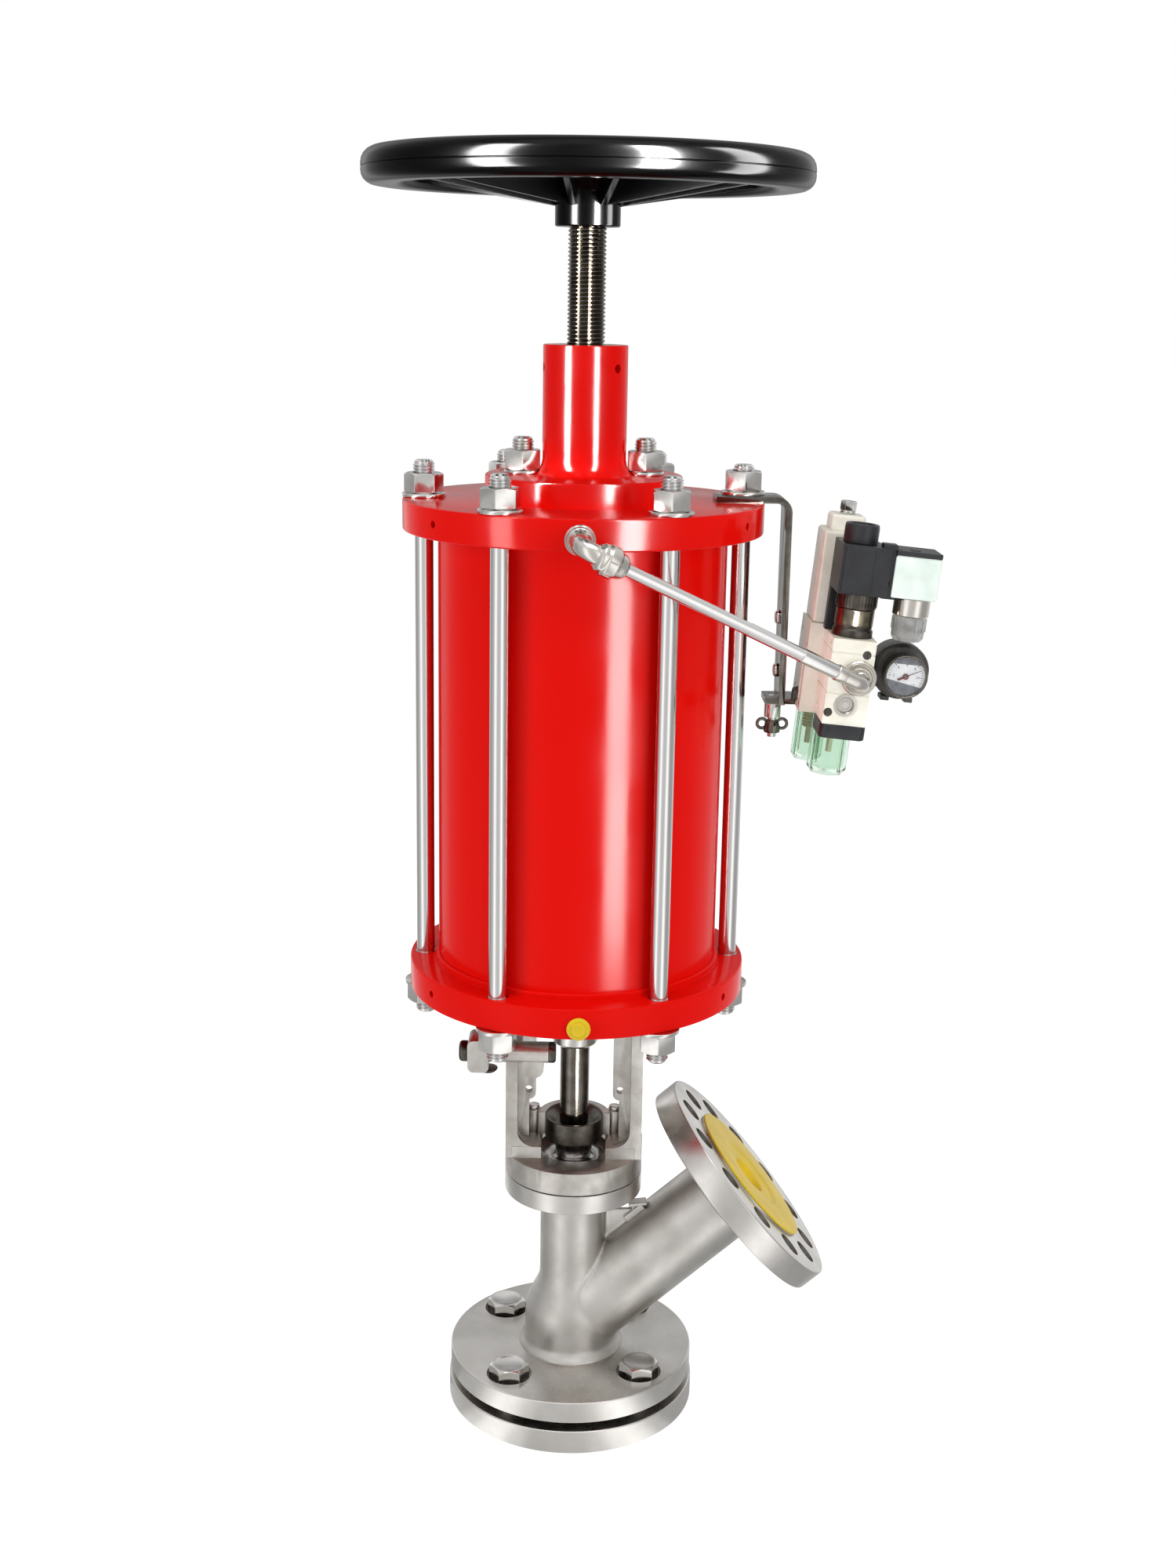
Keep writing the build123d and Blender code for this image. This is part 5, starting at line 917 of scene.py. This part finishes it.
def build_solenoid():
    """Armature with its knurled ring, coil, hollow nut and plug, over the valve block."""
    axis = AIR_FRAME @ shifted(y=18.0)
    sleeve = lathe([(0, 27), (12.7, 27, 0.5), (12.7, 31.4, 0.8), (11.6, 32.6), (12.0, 34.0), (12.0, 44.6),
                    (11.5, 45.0), (0, 45.0)], 72)
    core = lathe([(0, 44.0), (6.0, 44.0), (6.0, 91.0), (0, 91.0)], 40)
    knurl = lathe([(0, 45.0), (12.6, 45.0, 0.5), (12.6, 54.5, 0.6), (0, 54.5)], 72)
    teeth = [moved(slab(0.9, 0.5, 7.4, (0, -12.7, 50.0)), turned_by(10 * index)) for index in range(36)]
    armature = moved(joined(sleeve, core, knurl, *teeth), axis)
    finished("turned_armature", armature, black_oxide, ["armature_tube"], sharp=30)
    band = lathe([(12.02, 34.6), (12.16, 34.8), (12.16, 44.0), (12.02, 44.2)], 72)
    finished("polished_band", moved(band, axis), smoked, ["armature_tube"])
    coil_level = 69.75
    body = slab(30.5, 30.0, 30.5, (0, 16.5, coil_level))
    panel = slab(18.5, 1.0, 28.5, (-4.6, 1.2, coil_level))
    terminal = slab(9.5, 22.0, 31.3, (16.5, 14.6, 69.5))
    frame_plate = slab(27.0, 7.5, 58.0, (-1.75, 35.3, 56.0))
    ear = slab(9.0, 9.0, 3.4, (13.6, 7.0, 86.0))
    pin = bar(3.0, (17.0, 2.4, 63.5), (17.0, 4.2, 63.5), 20)
    coil = worked(joined(body, frame_plate), [bar(12.4, (0, 18, 50), (0, 18, 90), 40)])
    coil = moved(joined(coil, panel, terminal, ear, pin), AIR_FRAME)
    finished("moulded_coil", coil, nylon, ["coil"], edge=0.7)
    nut = lathe([(6.1, 85.0), (10.75, 85.0, 0.6), (10.75, 95.6, 1.2), (10.2, 97.0, 0.5), (8.4, 97.0, 0.6),
                 (7.6, 94.0), (7.2, 92.2), (0, 92.2), (0, 91.4), (6.1, 91.4)], 64)
    finished("moulded_coil_nut", moved(nut, axis @ shifted(x=-3.0)), nylon, ["coil_nut"], sharp=40)
    across, back = 32.0, 15.5
    shell = slab(28.5, 28.0, 25.4, (across, back, 68.2))
    shadow_gap = slab(27.7, 27.2, 1.4, (across, back, 81.2))
    finished("plug_shell", moved(joined(shell, shadow_gap), AIR_FRAME), milky, ["connector"], edge=0.9)
    lid = slab(28.3, 28.0, 3.2, (across, back, 83.2))
    catch = slab(6.0, 5.0, 1.0, (30.0, 9.0, 85.0))
    finished("plug_lid", moved(joined(lid, catch), AIR_FRAME), nylon, ["connector"], edge=0.7)
    gland = AIR_FRAME @ shifted(34.0, back)
    bore, cup_top = 4.5, 43.6
    collar = lathe([(bore, cup_top), (10.6, cup_top), (11.4, 44.4), (11.4, 55.2, 0.6), (bore, 55.2)], 64)
    finished("gland_collar", moved(collar, gland), nickel, ["cable_gland"], sharp=40)
    cup = lathe([(bore, 28.2), (8.4, 28.2), (10.2, 30.4, 0.9), (10.6, cup_top), (9.2, cup_top), (9.0, 31.4),
                 (bore, 30.0)], 64)
    grips = [moved(slab(0.9, 0.9, 8.0, (0, -10.5, 38.8)), turned_by(30 * index + 15)) for index in range(12)]
    seal = lathe([(bore, 33.0), (7.2, 33.0), (7.2, 42.6, 0.5), (bore, 42.6)], 48)
    finished("gland_cup", moved(joined(cup, *grips, seal), gland), smoky, ["cable_gland"], sharp=40)


def digits(text, height, centre, up):
    """Printed numerals on the dial, as thin raised ink, turned to a mesh."""
    curve = bpy.data.curves.new("numeral", "FONT")
    curve.body = text
    curve.size = height * MM
    curve.extrude = 0.02 * MM
    curve.align_x, curve.align_y = "CENTER", "CENTER"
    curve.resolution_u = 2
    thing = bpy.data.objects.new("numeral", curve)
    scene.collection.objects.link(thing)
    mesh = bpy.data.meshes.new_from_object(thing.evaluated_get(bpy.context.evaluated_depsgraph_get()))
    bpy.data.objects.remove(thing)
    bpy.data.curves.remove(curve)
    shape = bmesh.new()
    shape.from_mesh(mesh)
    bpy.data.meshes.remove(mesh)
    return moved(shape, shifted(centre[0], centre[1], up))
def build_gauge():
    """Gauge on its cast relay body; the dial is drawn in the plane of the case, x right and y up."""
    case = AIR_FRAME @ shifted(*GAUGE_PLACE) @ turned_by(90, "X")
    bezel = lathe([(0, 0), (12.6, 0), (12.6, 13.4), (13.3, 14.2), (13.7, 15.0), (13.7, 17.3, 0.5),
                   (13.0, 18.0, 0.4), (12.35, 17.4), (12.25, 14.2), (0, 14.2)], 96)
    finished("gauge_bezel", moved(bezel, case), oiled, ["gauge_case"], sharp=40)
    dial = lathe([(0, 14.25), (12.15, 14.25), (12.15, 14.9), (0, 14.9)], 72)
    finished("gauge_dial_card", moved(dial, case), card, ["gauge_dial"])
    ink_level = 14.93
    marks = []
    for index in range(31):
        angle = 225 - 9 * index
        numbered = index % 5 == 0
        inner, outer = 9.0 if numbered else 9.8, 10.9
        wide = 0.34 if numbered else 0.2
        tick = slab(outer - inner, wide, 0.06, ((outer + inner) / 2, 0, ink_level))
        marks.append(moved(tick, turned_by(angle)))
        if numbered:
            place = (7.4 * math.cos(math.radians(angle)), 7.4 * math.sin(math.radians(angle)))
            marks.append(digits(str(2 * index // 5), 2.5, place, ink_level))
    marks.append(digits("bar", 1.9, (0, -8.3), ink_level))
    finished("gauge_scale", moved(joined(*marks), case), ink, ["gauge_dial"])
    # Painted shade: two thin slate-grey discs, cut to bands across the top and the bottom of the dial
    painted_shades = []
    for level, outward in ((7.6, (0, -1, 0)), (-4.4, (0.18, 1, 0))):
        disc = bar(24.2, (0, 0, 14.9), (0, 0, 14.94), 72)
        painted_shades.append(sliced(disc, (0, level * MM, 0), outward))
    finished("gauge_dial_shade", moved(joined(*painted_shades), case), painted_shade_finish, ["gauge_dial"])
    needle_level = 15.55
    needle = bar(0.75, (-3.4, 0, needle_level), (10.2, 0, needle_level), 10, 0.25)
    tail = slab(4.2, 1.3, 0.35, (-3.2, 0, needle_level))
    boss = lathe([(1.05, 15.2), (1.9, 15.2), (1.9, 15.9, 0.2), (1.05, 15.9)], 32)
    pointer = moved(joined(needle, tail, boss), turned_by(27))
    finished("gauge_needle", moved(pointer, case), pointer_red, ["gauge_pointer"])
    lens = lathe([(0, 16.8), (12.2, 16.8), (12.2, 17.3), (9.0, 17.7), (0, 18.0)], 72)
    finished("gauge_window", moved(lens, case), glass, ["gauge_lens"])
    drum = lathe([(0, -26.4), (17.0, -26.4, 1.0), (17.6, -14.0), (18.0, -12.0), (18.0, -2.0, 1.2),
                  (15.4, 0.0, 0.8), (0, 0.0)], 72)
    upper = slab(24.0, 19.0, 9.0, (2.5, 13.0, -13.5))
    feet = [slab(5.5, 3.0, 12.0, (x, -18.6, -11.0)) for x in (-7.0, 8.0)]
    neck = bar(9.0, (11.0, 8.0, -13.0), (11.0, 25.0, -13.0), 32)
    body = moved(joined(drum, upper, *feet, neck), shifted(*GAUGE_PLACE) @ turned_by(90, "X"))
    body = worked(body, [slab(27.6, 46.0, 60.0, (0, 20.0, 0))])
    finished("cast_gauge_body", moved(body, AIR_FRAME), die_cast, ["gauge_body"], edge=0.5)


def build_regulator():
    """Cast regulator behind the block, cut away round the gauge, with its plugs and its tall bonnet."""
    body = slab(38.0, 40.0, 58.0, (-4.0, 60.2, 0))
    x, y, z = GAUGE_PLACE
    cuts = [slab(2.4, 5.2, 26.0, (-23.0, 50.0, -9.0)), bar(36.6, (x, y, z), (x, 90.0, z), 64)]
    cuts += [bar(3.6, (-24.5, y, z), (-22.0, y, z), 24) for y, z in REGULATOR_PLUGS]
    collars = [bar(wide, (x, y, -34.0), (x, y, -28.0), 48) for (x, y), wide in zip(BOWLS, (22.0, 16.0))]
    link = slab(20.0, 16.0, 16.0, (25.0, 50.0, 7.0))
    body = worked(joined(body, link, *collars), cuts)
    finished("cast_regulator_body", moved(body, AIR_FRAME), cream, ["regulator_body"], edge=0.9)
    screws = [bar(3.4, (-22.9, y, z), (-21.9, y, z), 20) for y, z in REGULATOR_PLUGS]
    plug = lathe([(0, 0), (5.2, 0), (5.2, 1.2, 0.3), (4.4, 1.2), (4.4, 3.4, 0.6), (0, 3.4)], 6)
    plug = moved(plug, shifted(-23.0, 57.0, -21.0) @ turned_by(-90, "Y"))
    plugs = moved(joined(plug, *screws), AIR_FRAME)
    finished("regulator_plugs", plugs, black_oxide, ["regulator_body"], edge=0.2)
    shell = slab(34.0, 34.0, 58.8, (-5.0, 58.0, 58.5))
    strap = slab(35.0, 6.0, 50.0, (-5.0, 48.0, 57.0))
    cap = slab(22.0, 22.0, 11.0, (-7.0, 58.0, 92.6))
    bonnet = moved(joined(shell, strap, cap), AIR_FRAME)
    finished("cast_bonnet", bonnet, cream, ["regulator_bonnet"], edge=2.0)


def build_bowls():
    """Clear bowls with thick walls and moulded ribs, and the finned filter elements that show through."""
    bowls, ribs, cores = [], [], []
    for (x, y), radius, height, core in zip(BOWLS, (13.0, 10.0), (41.0, 38.0), (5.5, 5.0)):
        low = BOWL_TOP - height
        bowl = lathe([(0, low), (radius - 3.0, low), (radius, low + 3.4, 1.2), (radius, BOWL_TOP),
                      (radius - 2.0, BOWL_TOP), (radius - 2.0, low + 5.0, 1.4), (radius - 5.0, low + 2.4),
                      (0, low + 2.4)], 64)
        bowls.append(moved(bowl, shifted(x, y)))
        for index in range(4):
            rib = slab(1.4, 1.2, height - 8.0, (0, -radius + 0.2, BOWL_TOP - 1.0 - height / 2))
            ribs.append(moved(rib, shifted(x, y) @ turned_by(90 * index + 30)))
        fins = [(core if step % 2 == 0 else core - 0.7, -34.0 - step) for step in range(12)]
        filter_core = lathe([(0, -34.0), *fins, (2.0, -46.0), (2.0, -56.0, 0.5), (0, -56.0)], 40)
        cores.append(moved(filter_core, shifted(x, y)))
    finished("clear_bowls", moved(joined(*bowls, *ribs), AIR_FRAME), clear, ["filter_bowls"], sharp=40)
    finished("filter_cores", moved(joined(*cores), AIR_FRAME), filter_body, ["filter_elements"], sharp=40)


def build_air_line():
    """Head fitting with elbow and union, drawn tube, stepped fitting at the block."""
    port = Vector((LINE_PORT_X, -115.55, LINE_PORT_Z))
    corner = Vector((LINE_PORT_X, -148.0, LINE_PORT_Z))
    block_port = (AIR_FRAME @ Vector((BLOCK_PORT[0] * MM, 0, BLOCK_PORT[1] * MM))) / MM
    block_corner = Vector((block_port.x, -95.0, block_port.z))
    along = (block_corner - corner).normalized()
    outward = turned_by(90, "X")
    at_corner = Matrix.Translation(corner * MM) @ along.to_track_quat("Z", "X").to_matrix().to_4x4()
    back = -along
    at_block = Matrix.Translation(block_corner * MM) @ back.to_track_quat("Z", "X").to_matrix().to_4x4()
    elbow = bent_bar(11.6, port + Vector((0, 10, 0)), corner, corner + along * 14, ELBOW_BEND)
    collar = lathe([(0, -1), (9.0, -1), (9.4, 0.2), (9.4, 1.4, 0.5), (8.4, 2.4), (8.2, 5.0, 0.8), (6.8, 6.2),
                    (5.6, 9.5), (0, 9.5)], 64)
    band = lathe([(5.3, 16.5), (6.6, 17.0), (6.6, 20.0, 0.5), (5.3, 20.6)], 48)
    union = lathe([(0, 10.5), (6.4, 10.5), (8.6, 12.2, 0.8), (8.6, 15.2, 0.8), (9.8, 16.4, 0.5),
                   (9.8, 22.6, 0.9), (8.2, 24.2, 0.4), (7.4, 28.0, 0.8), (5.6, 30.0, 0.6), (4.0, 30.8),
                   (0, 30.8)], 64)
    nut = hex_head(17.6, 16.8, 22.2)
    collar = moved(collar, Matrix.Translation(port * MM) @ outward)
    head = joined(elbow, collar, moved(joined(union, nut, band), at_corner))
    dish = lathe([(0, -10), (5.4, -10), (5.4, 0), (9.6, 0.05), (11.0, 1.2, 0.4), (11.2, 2.8, 0.5),
                  (10.0, 4.0, 0.4), (8.9, 3.2, 0.3), (8.2, 3.0), (7.8, 6.0, 0.4), (6.9, 7.4, 0.4), (6.2, 7.2),
                  (5.8, 11.2, 0.4), (4.8, 12.4), (0, 12.4)], 64)
    dish = moved(dish, Matrix.Translation(block_port * MM) @ outward)
    knee = bent_bar(9.4, block_port, block_corner, block_corner + back * 20, ELBOW_BEND)
    sleeve = lathe([(3.55, 15.0), (5.1, 15.0, 0.4), (5.1, 21.6, 0.5), (3.55, 22.6)], 48)
    tail = joined(dish, knee, moved(sleeve, at_block))
    finished("line_fittings", joined(head, tail), nickel, ["tube_fittings"], sharp=36)
    reach = (block_corner - corner).length
    pipe = lathe([(0, 14.5), (3.9, 14.5), (3.9, reach - 86), (4.2, reach - 85), (4.2, reach - 48),
                  (4.55, reach - 47, 0.2), (4.55, reach - 22, 0.3), (4.2, reach - 21.4), (4.2, reach - 14.5),
                  (0, reach - 14.5)], 48)
    finished("drawn_air_line", moved(pipe, at_corner), bright, ["air_tube"])


# Strip hardware below the air set
def build_wing_nut():
    """Wing nut with two looped ears, cast and rumbled."""
    loops = []
    for side in (-1, 1):
        loop = bmesh.new()
        wire = shifted(3.2, 0, 0) @ turned_by(90, "X")
        bmesh.ops.create_circle(loop, segments=20, radius=1.1 * MM, matrix=wire)
        spun(loop, loop.verts[:] + loop.edges[:], 32)
        loops.append(moved(loop, shifted(side * 6.6, 0, 5.6) @ turned_by(90, "X")))
    hub = lathe([(3.05, 0), (5.2, 0), (5.5, 1.0), (5.0, 5.0), (4.2, 8.0, 0.6), (3.05, 8.0)], 48)
    nut = moved(joined(hub, *loops), shifted(126.5, 0, 483.5))
    finished("cast_wing_nut", nut, oiled, ["wing_nut"], sharp=40)


for build in (
    build_tank_flange, build_body_bolts, build_valve_body, build_body_lug, build_outlet_flange,
    build_tie_rods, build_housing_studs, build_spindle, build_heads, build_tube, build_housing,
    build_handwheel, build_outlet_cover, build_port_plug, build_yoke, build_gland, build_valve_block,
    build_solenoid, build_gauge, build_regulator, build_bowls, build_air_line, build_wing_nut,
):
    build()

EASED_EDGES = {
    "rod_nuts": 0.3, "rod_washers": 0.3, "clamp_bracket": 1.6, "clamp_bolts": 0.6, "gland_clamp": 0.8,
    "gland_screws": 0.4, "rod_bush": 0.3, "wheel_nut": 0.3, "mounting_strip": 0.6, "strip_screws": 0.2,
    "wing_bolt": 0.2, "block_end_cap": 0.7, "adjusting_screw": 0.3, "stuffing_box": 0.3,
}
for name, edge in EASED_EDGES.items():
    dressed(name, edge)


# Camera at the photograph's place: 1.23 degrees right of +Y, 14.28 degrees down, rolled 0.95 degrees
HEADING, PITCH, ROLL = (math.radians(angle) for angle in (1.23, 14.28, 0.95))
EYE = Vector((-0.0210, -1.2518, 0.7651))
FOCAL_PX = 2483
IMAGE_TALL = 2000
SENSOR = 36.0


def build_camera():
    """The photograph's camera: its eye, its heading, its tilt and its field."""
    level = math.cos(PITCH)
    forward = Vector((math.sin(HEADING) * level, math.cos(HEADING) * level, -math.sin(PITCH)))
    level_right = Vector((math.cos(HEADING), -math.sin(HEADING), 0))
    level_up = level_right.cross(forward)
    right = level_right * math.cos(ROLL) + level_up * math.sin(ROLL)
    up = level_up * math.cos(ROLL) - level_right * math.sin(ROLL)
    data = bpy.data.cameras.new("photo_camera")
    data.sensor_fit = "VERTICAL"
    data.sensor_height = SENSOR
    data.lens = FOCAL_PX * SENSOR / IMAGE_TALL
    data.clip_start = 0.05
    data.clip_end = 40
    camera = bpy.data.objects.new("photo_camera", data)
    scene.collection.objects.link(camera)
    turn = Matrix((right, up, -forward)).transposed().to_4x4()
    camera.matrix_world = Matrix.Translation(EYE) @ turn
    scene.camera = camera


# Studio: white floor, white surroundings and soft boxes
# What polished surfaces mirror: degrees from the camera's side toward the right, and the brightness there
MIRRORED = (
    (-180, 0.5), (-166, 0.4), (-152, 1.1), (-140, 0.8), (-120, 0.5), (-95, 0.45), (-68, 0.65), (-56, 1.1),
    (-48, 1.6), (-38, 1.6), (-29, 1.1), (-20, 0.8), (6, 0.75), (13, 0.95), (24, 1.5), (31, 1.65),
    (38, 1.5), (49, 0.85), (60, 0.5), (95, 0.5), (118, 0.8), (140, 0.9), (152, 1.0), (166, 0.4),
)
BRIGHTEST = 1.65
# Strengths: what polish mirrors overhead, what lights matt surfaces, what lifts the paper for the camera
OVERHEAD = 0.9
AMBIENT = 0.42
FLOOR_GLOW = 0.62
FLOOR_LEVEL = -0.4 * MM
# Watts per square metre of a streak box at a brightness of 1
STREAK_WATTS = 4


def mirrored_studio(tree, direction):
    """Brightness of the studio round the horizon: upright soft boxes with darker stretches between."""
    compass = add(tree, "ShaderNodeTexGradient", [("Vector", direction)], gradient_type="RADIAL")
    card = add(tree, "ShaderNodeValToRGB", [("Fac", compass.outputs["Fac"])])
    card.color_ramp.interpolation = "EASE"
    stops = sorted(((angle / 360 + 0.25) % 1.0, level) for angle, level in MIRRORED)
    marks = card.color_ramp.elements
    marks[0].position, marks[1].position = stops[0][0], stops[-1][0]
    for place, level in stops[1:-1]:
        marks.new(place)
    for mark, (place, level) in zip(marks, stops):
        mark.color = grey(level / BRIGHTEST)
    level = [(0, card.outputs["Color"])]
    return add(tree, "ShaderNodeMath", level, [(1, BRIGHTEST)], operation="MULTIPLY").outputs[0]


def seen_and_mirrored(tree):
    """Which rays see the studio itself, through clear parts too, and which see it mirrored."""
    path = add(tree, "ShaderNodeLightPath")
    through = path.outputs["Is Transmission Ray"]
    seen = [(0, path.outputs["Is Camera Ray"]), (1, through)]
    mirrored = [(0, path.outputs["Is Glossy Ray"]), (1, through)]
    return (add(tree, "ShaderNodeMath", seen, operation="MAXIMUM").outputs[0],
            add(tree, "ShaderNodeMath", mirrored, operation="SUBTRACT").outputs[0])


def build_surround():
    """White for the camera and clear parts, soft boxes for polish, an even half light for the rest."""
    world = bpy.data.worlds.new("white_surround")
    world.use_nodes = True
    scene.world = world
    tree = world.node_tree
    seen, mirrored = seen_and_mirrored(tree)
    place = add(tree, "ShaderNodeTexCoord")
    height = add(tree, "ShaderNodeSeparateXYZ", [("Vector", place.outputs["Generated"])])
    high_up = [("From Min", 0.3), ("From Max", 0.75)]
    overhead = add(tree, "ShaderNodeMapRange", [("Value", height.outputs["Z"])], high_up)
    sides = mirrored_studio(tree, place.outputs["Generated"])
    polish = add(tree, "ShaderNodeMix", [("Factor", overhead.outputs[0]), (2, sides)], [(3, OVERHEAD)])
    plain = add(tree, "ShaderNodeMapRange", [("Value", seen)], [("To Min", AMBIENT), ("To Max", 1.0)])
    level = add(tree, "ShaderNodeMix", [("Factor", mirrored), (2, plain.outputs[0]), (3, polish.outputs[0])])
    background = tree.nodes["Background"]
    background.inputs["Color"].default_value = grey(1)
    tree.links.new(level.outputs[0], background.inputs["Strength"])


def build_floor():
    """Matt white paper: it takes the object's shadow, and its own white is lifted for the camera only."""
    sheet = bmesh.new()
    level = Matrix.Translation((0, 0, FLOOR_LEVEL))
    bmesh.ops.create_grid(sheet, x_segments=1, y_segments=1, size=20.0, matrix=level)
    floor = as_object("studio_floor", sheet)
    material, paper = surface("matt_white_paper", "#F4F4F4", 0.0, 0.9, [("Specular IOR Level", 0.1)])
    tree = material.node_tree
    seen, mirrored = seen_and_mirrored(tree)
    place = add(tree, "ShaderNodeTexCoord")
    lift = add(tree, "ShaderNodeMath", [(0, seen)], [(1, FLOOR_GLOW)], operation="MULTIPLY")
    glow = add(tree, "ShaderNodeEmission", [("Strength", lift.outputs[0])])
    lit = add(tree, "ShaderNodeAddShader", [(0, paper.outputs[0]), (1, glow.outputs[0])])
    cards = add(tree, "ShaderNodeEmission", [("Strength", mirrored_studio(tree, place.outputs["Object"]))])
    whole = add(tree, "ShaderNodeMixShader", [("Fac", mirrored), (1, lit.outputs[0]), (2, cards.outputs[0])])
    tree.links.new(whole.outputs[0], tree.nodes["Material Output"].inputs["Surface"])
    floor.data.materials.append(material)


def soft_box(name, place, target, size, power, mirrored=True):
    """A rectangular lamp that faces its target; polished surfaces show it only where mirrored is set."""
    data = bpy.data.lights.new(name, "AREA")
    data.shape = "RECTANGLE"
    data.size, data.size_y = size
    data.energy = power
    lamp = bpy.data.objects.new(name, data)
    scene.collection.objects.link(lamp)
    lamp.location = place
    lamp.rotation_euler = (Vector(target) - Vector(place)).to_track_quat("-Z", "Y").to_euler()
    lamp.visible_glossy = mirrored
    return lamp


def receivers_of(name, parts):
    """The pieces whose names hold one of these words, as a collection for a lamp's light linking."""
    receivers = bpy.data.collections.new(name)
    for piece in scene.objects:
        if piece.type == "MESH" and any(part in piece.name for part in parts):
            receivers.objects.link(piece)
    return receivers


def streak_box(name, compass, distance, width, brightness, parts):
    """Tall soft box round the camera that only the named pieces mirror, as an upright streak."""
    angle = math.radians(compass)
    place = Vector((math.sin(angle) * distance, -math.cos(angle) * distance, 1.0))
    size = (2 * distance * math.tan(math.radians(width / 2)), 2.0)
    lamp = soft_box(name, place, (0, 0, 1.0), size, brightness * STREAK_WATTS * size[0] * size[1])
    lamp.visible_camera = False
    lamp.visible_diffuse = False
    lamp.light_linking.receiver_collection = receivers_of("mirrors_" + name, parts)


build_camera()
build_surround()
build_floor()
soft_box("right_box", (1.5, -1.4, 0.9), (0, 0, 0.45), (0.8, 1.7), 17, False)
soft_box("left_box", (-1.7, -0.9, 0.8), (0, 0, 0.45), (0.5, 1.7), 15, False)
soft_box("top_box", (0.1, -0.5, 2.2), (0, 0, 0.5), (1.4, 1.0), 10)
# Name, degrees from the camera's side, distance, width in degrees, brightness, pieces that mirror it
STREAKS = (
    ("right_box_for_tube", 28, 1.1, 16, 76.0, ("enamelled_tube",)),
    ("right_box_for_housing", 30, 1.1, 13, 190.0, ("enamelled_housing",)),
    ("right_box_for_top_head", 28, 1.1, 15, 125.0, ("enamelled_top_head",)),
    ("left_box_for_housing", -48, 1.1, 14, 330.0, ("enamelled_housing",)),
    ("left_box_for_top_head", -50, 1.1, 13, 30.0, ("enamelled_top_head",)),
    ("right_box_for_wheel", 32, 1.1, 13, 1300.0, ("handwheel",)),
    ("side_box_for_wheel", 82, 1.1, 20, 70.0, ("handwheel",)),
    ("left_box_for_wheel", -48, 1.1, 20, 220.0, ("handwheel",)),
    ("right_box_for_shafts", 19, 0.55, 16, 44.0, ("turned_stem", "threaded_spindle", "polished_band")),
    ("left_box_for_spindle", -57, 1.1, 14, 40.0, ("threaded_spindle",)),
)
for streak in STREAKS:
    streak_box(*streak)
air_set = receivers_of("lit_by_the_air_set_box", ("valve_block", "regulator", "bonnet", "plug_shell"))
air_set_box = soft_box("air_set_box", (-0.55, -0.75, 0.75), (0.2, 0, 0.55), (0.5, 0.5), 3.2, False)
air_set_box.light_linking.receiver_collection = air_set
air_set_box.light_linking.blocker_collection = air_set

scene.view_settings.view_transform = "Standard"
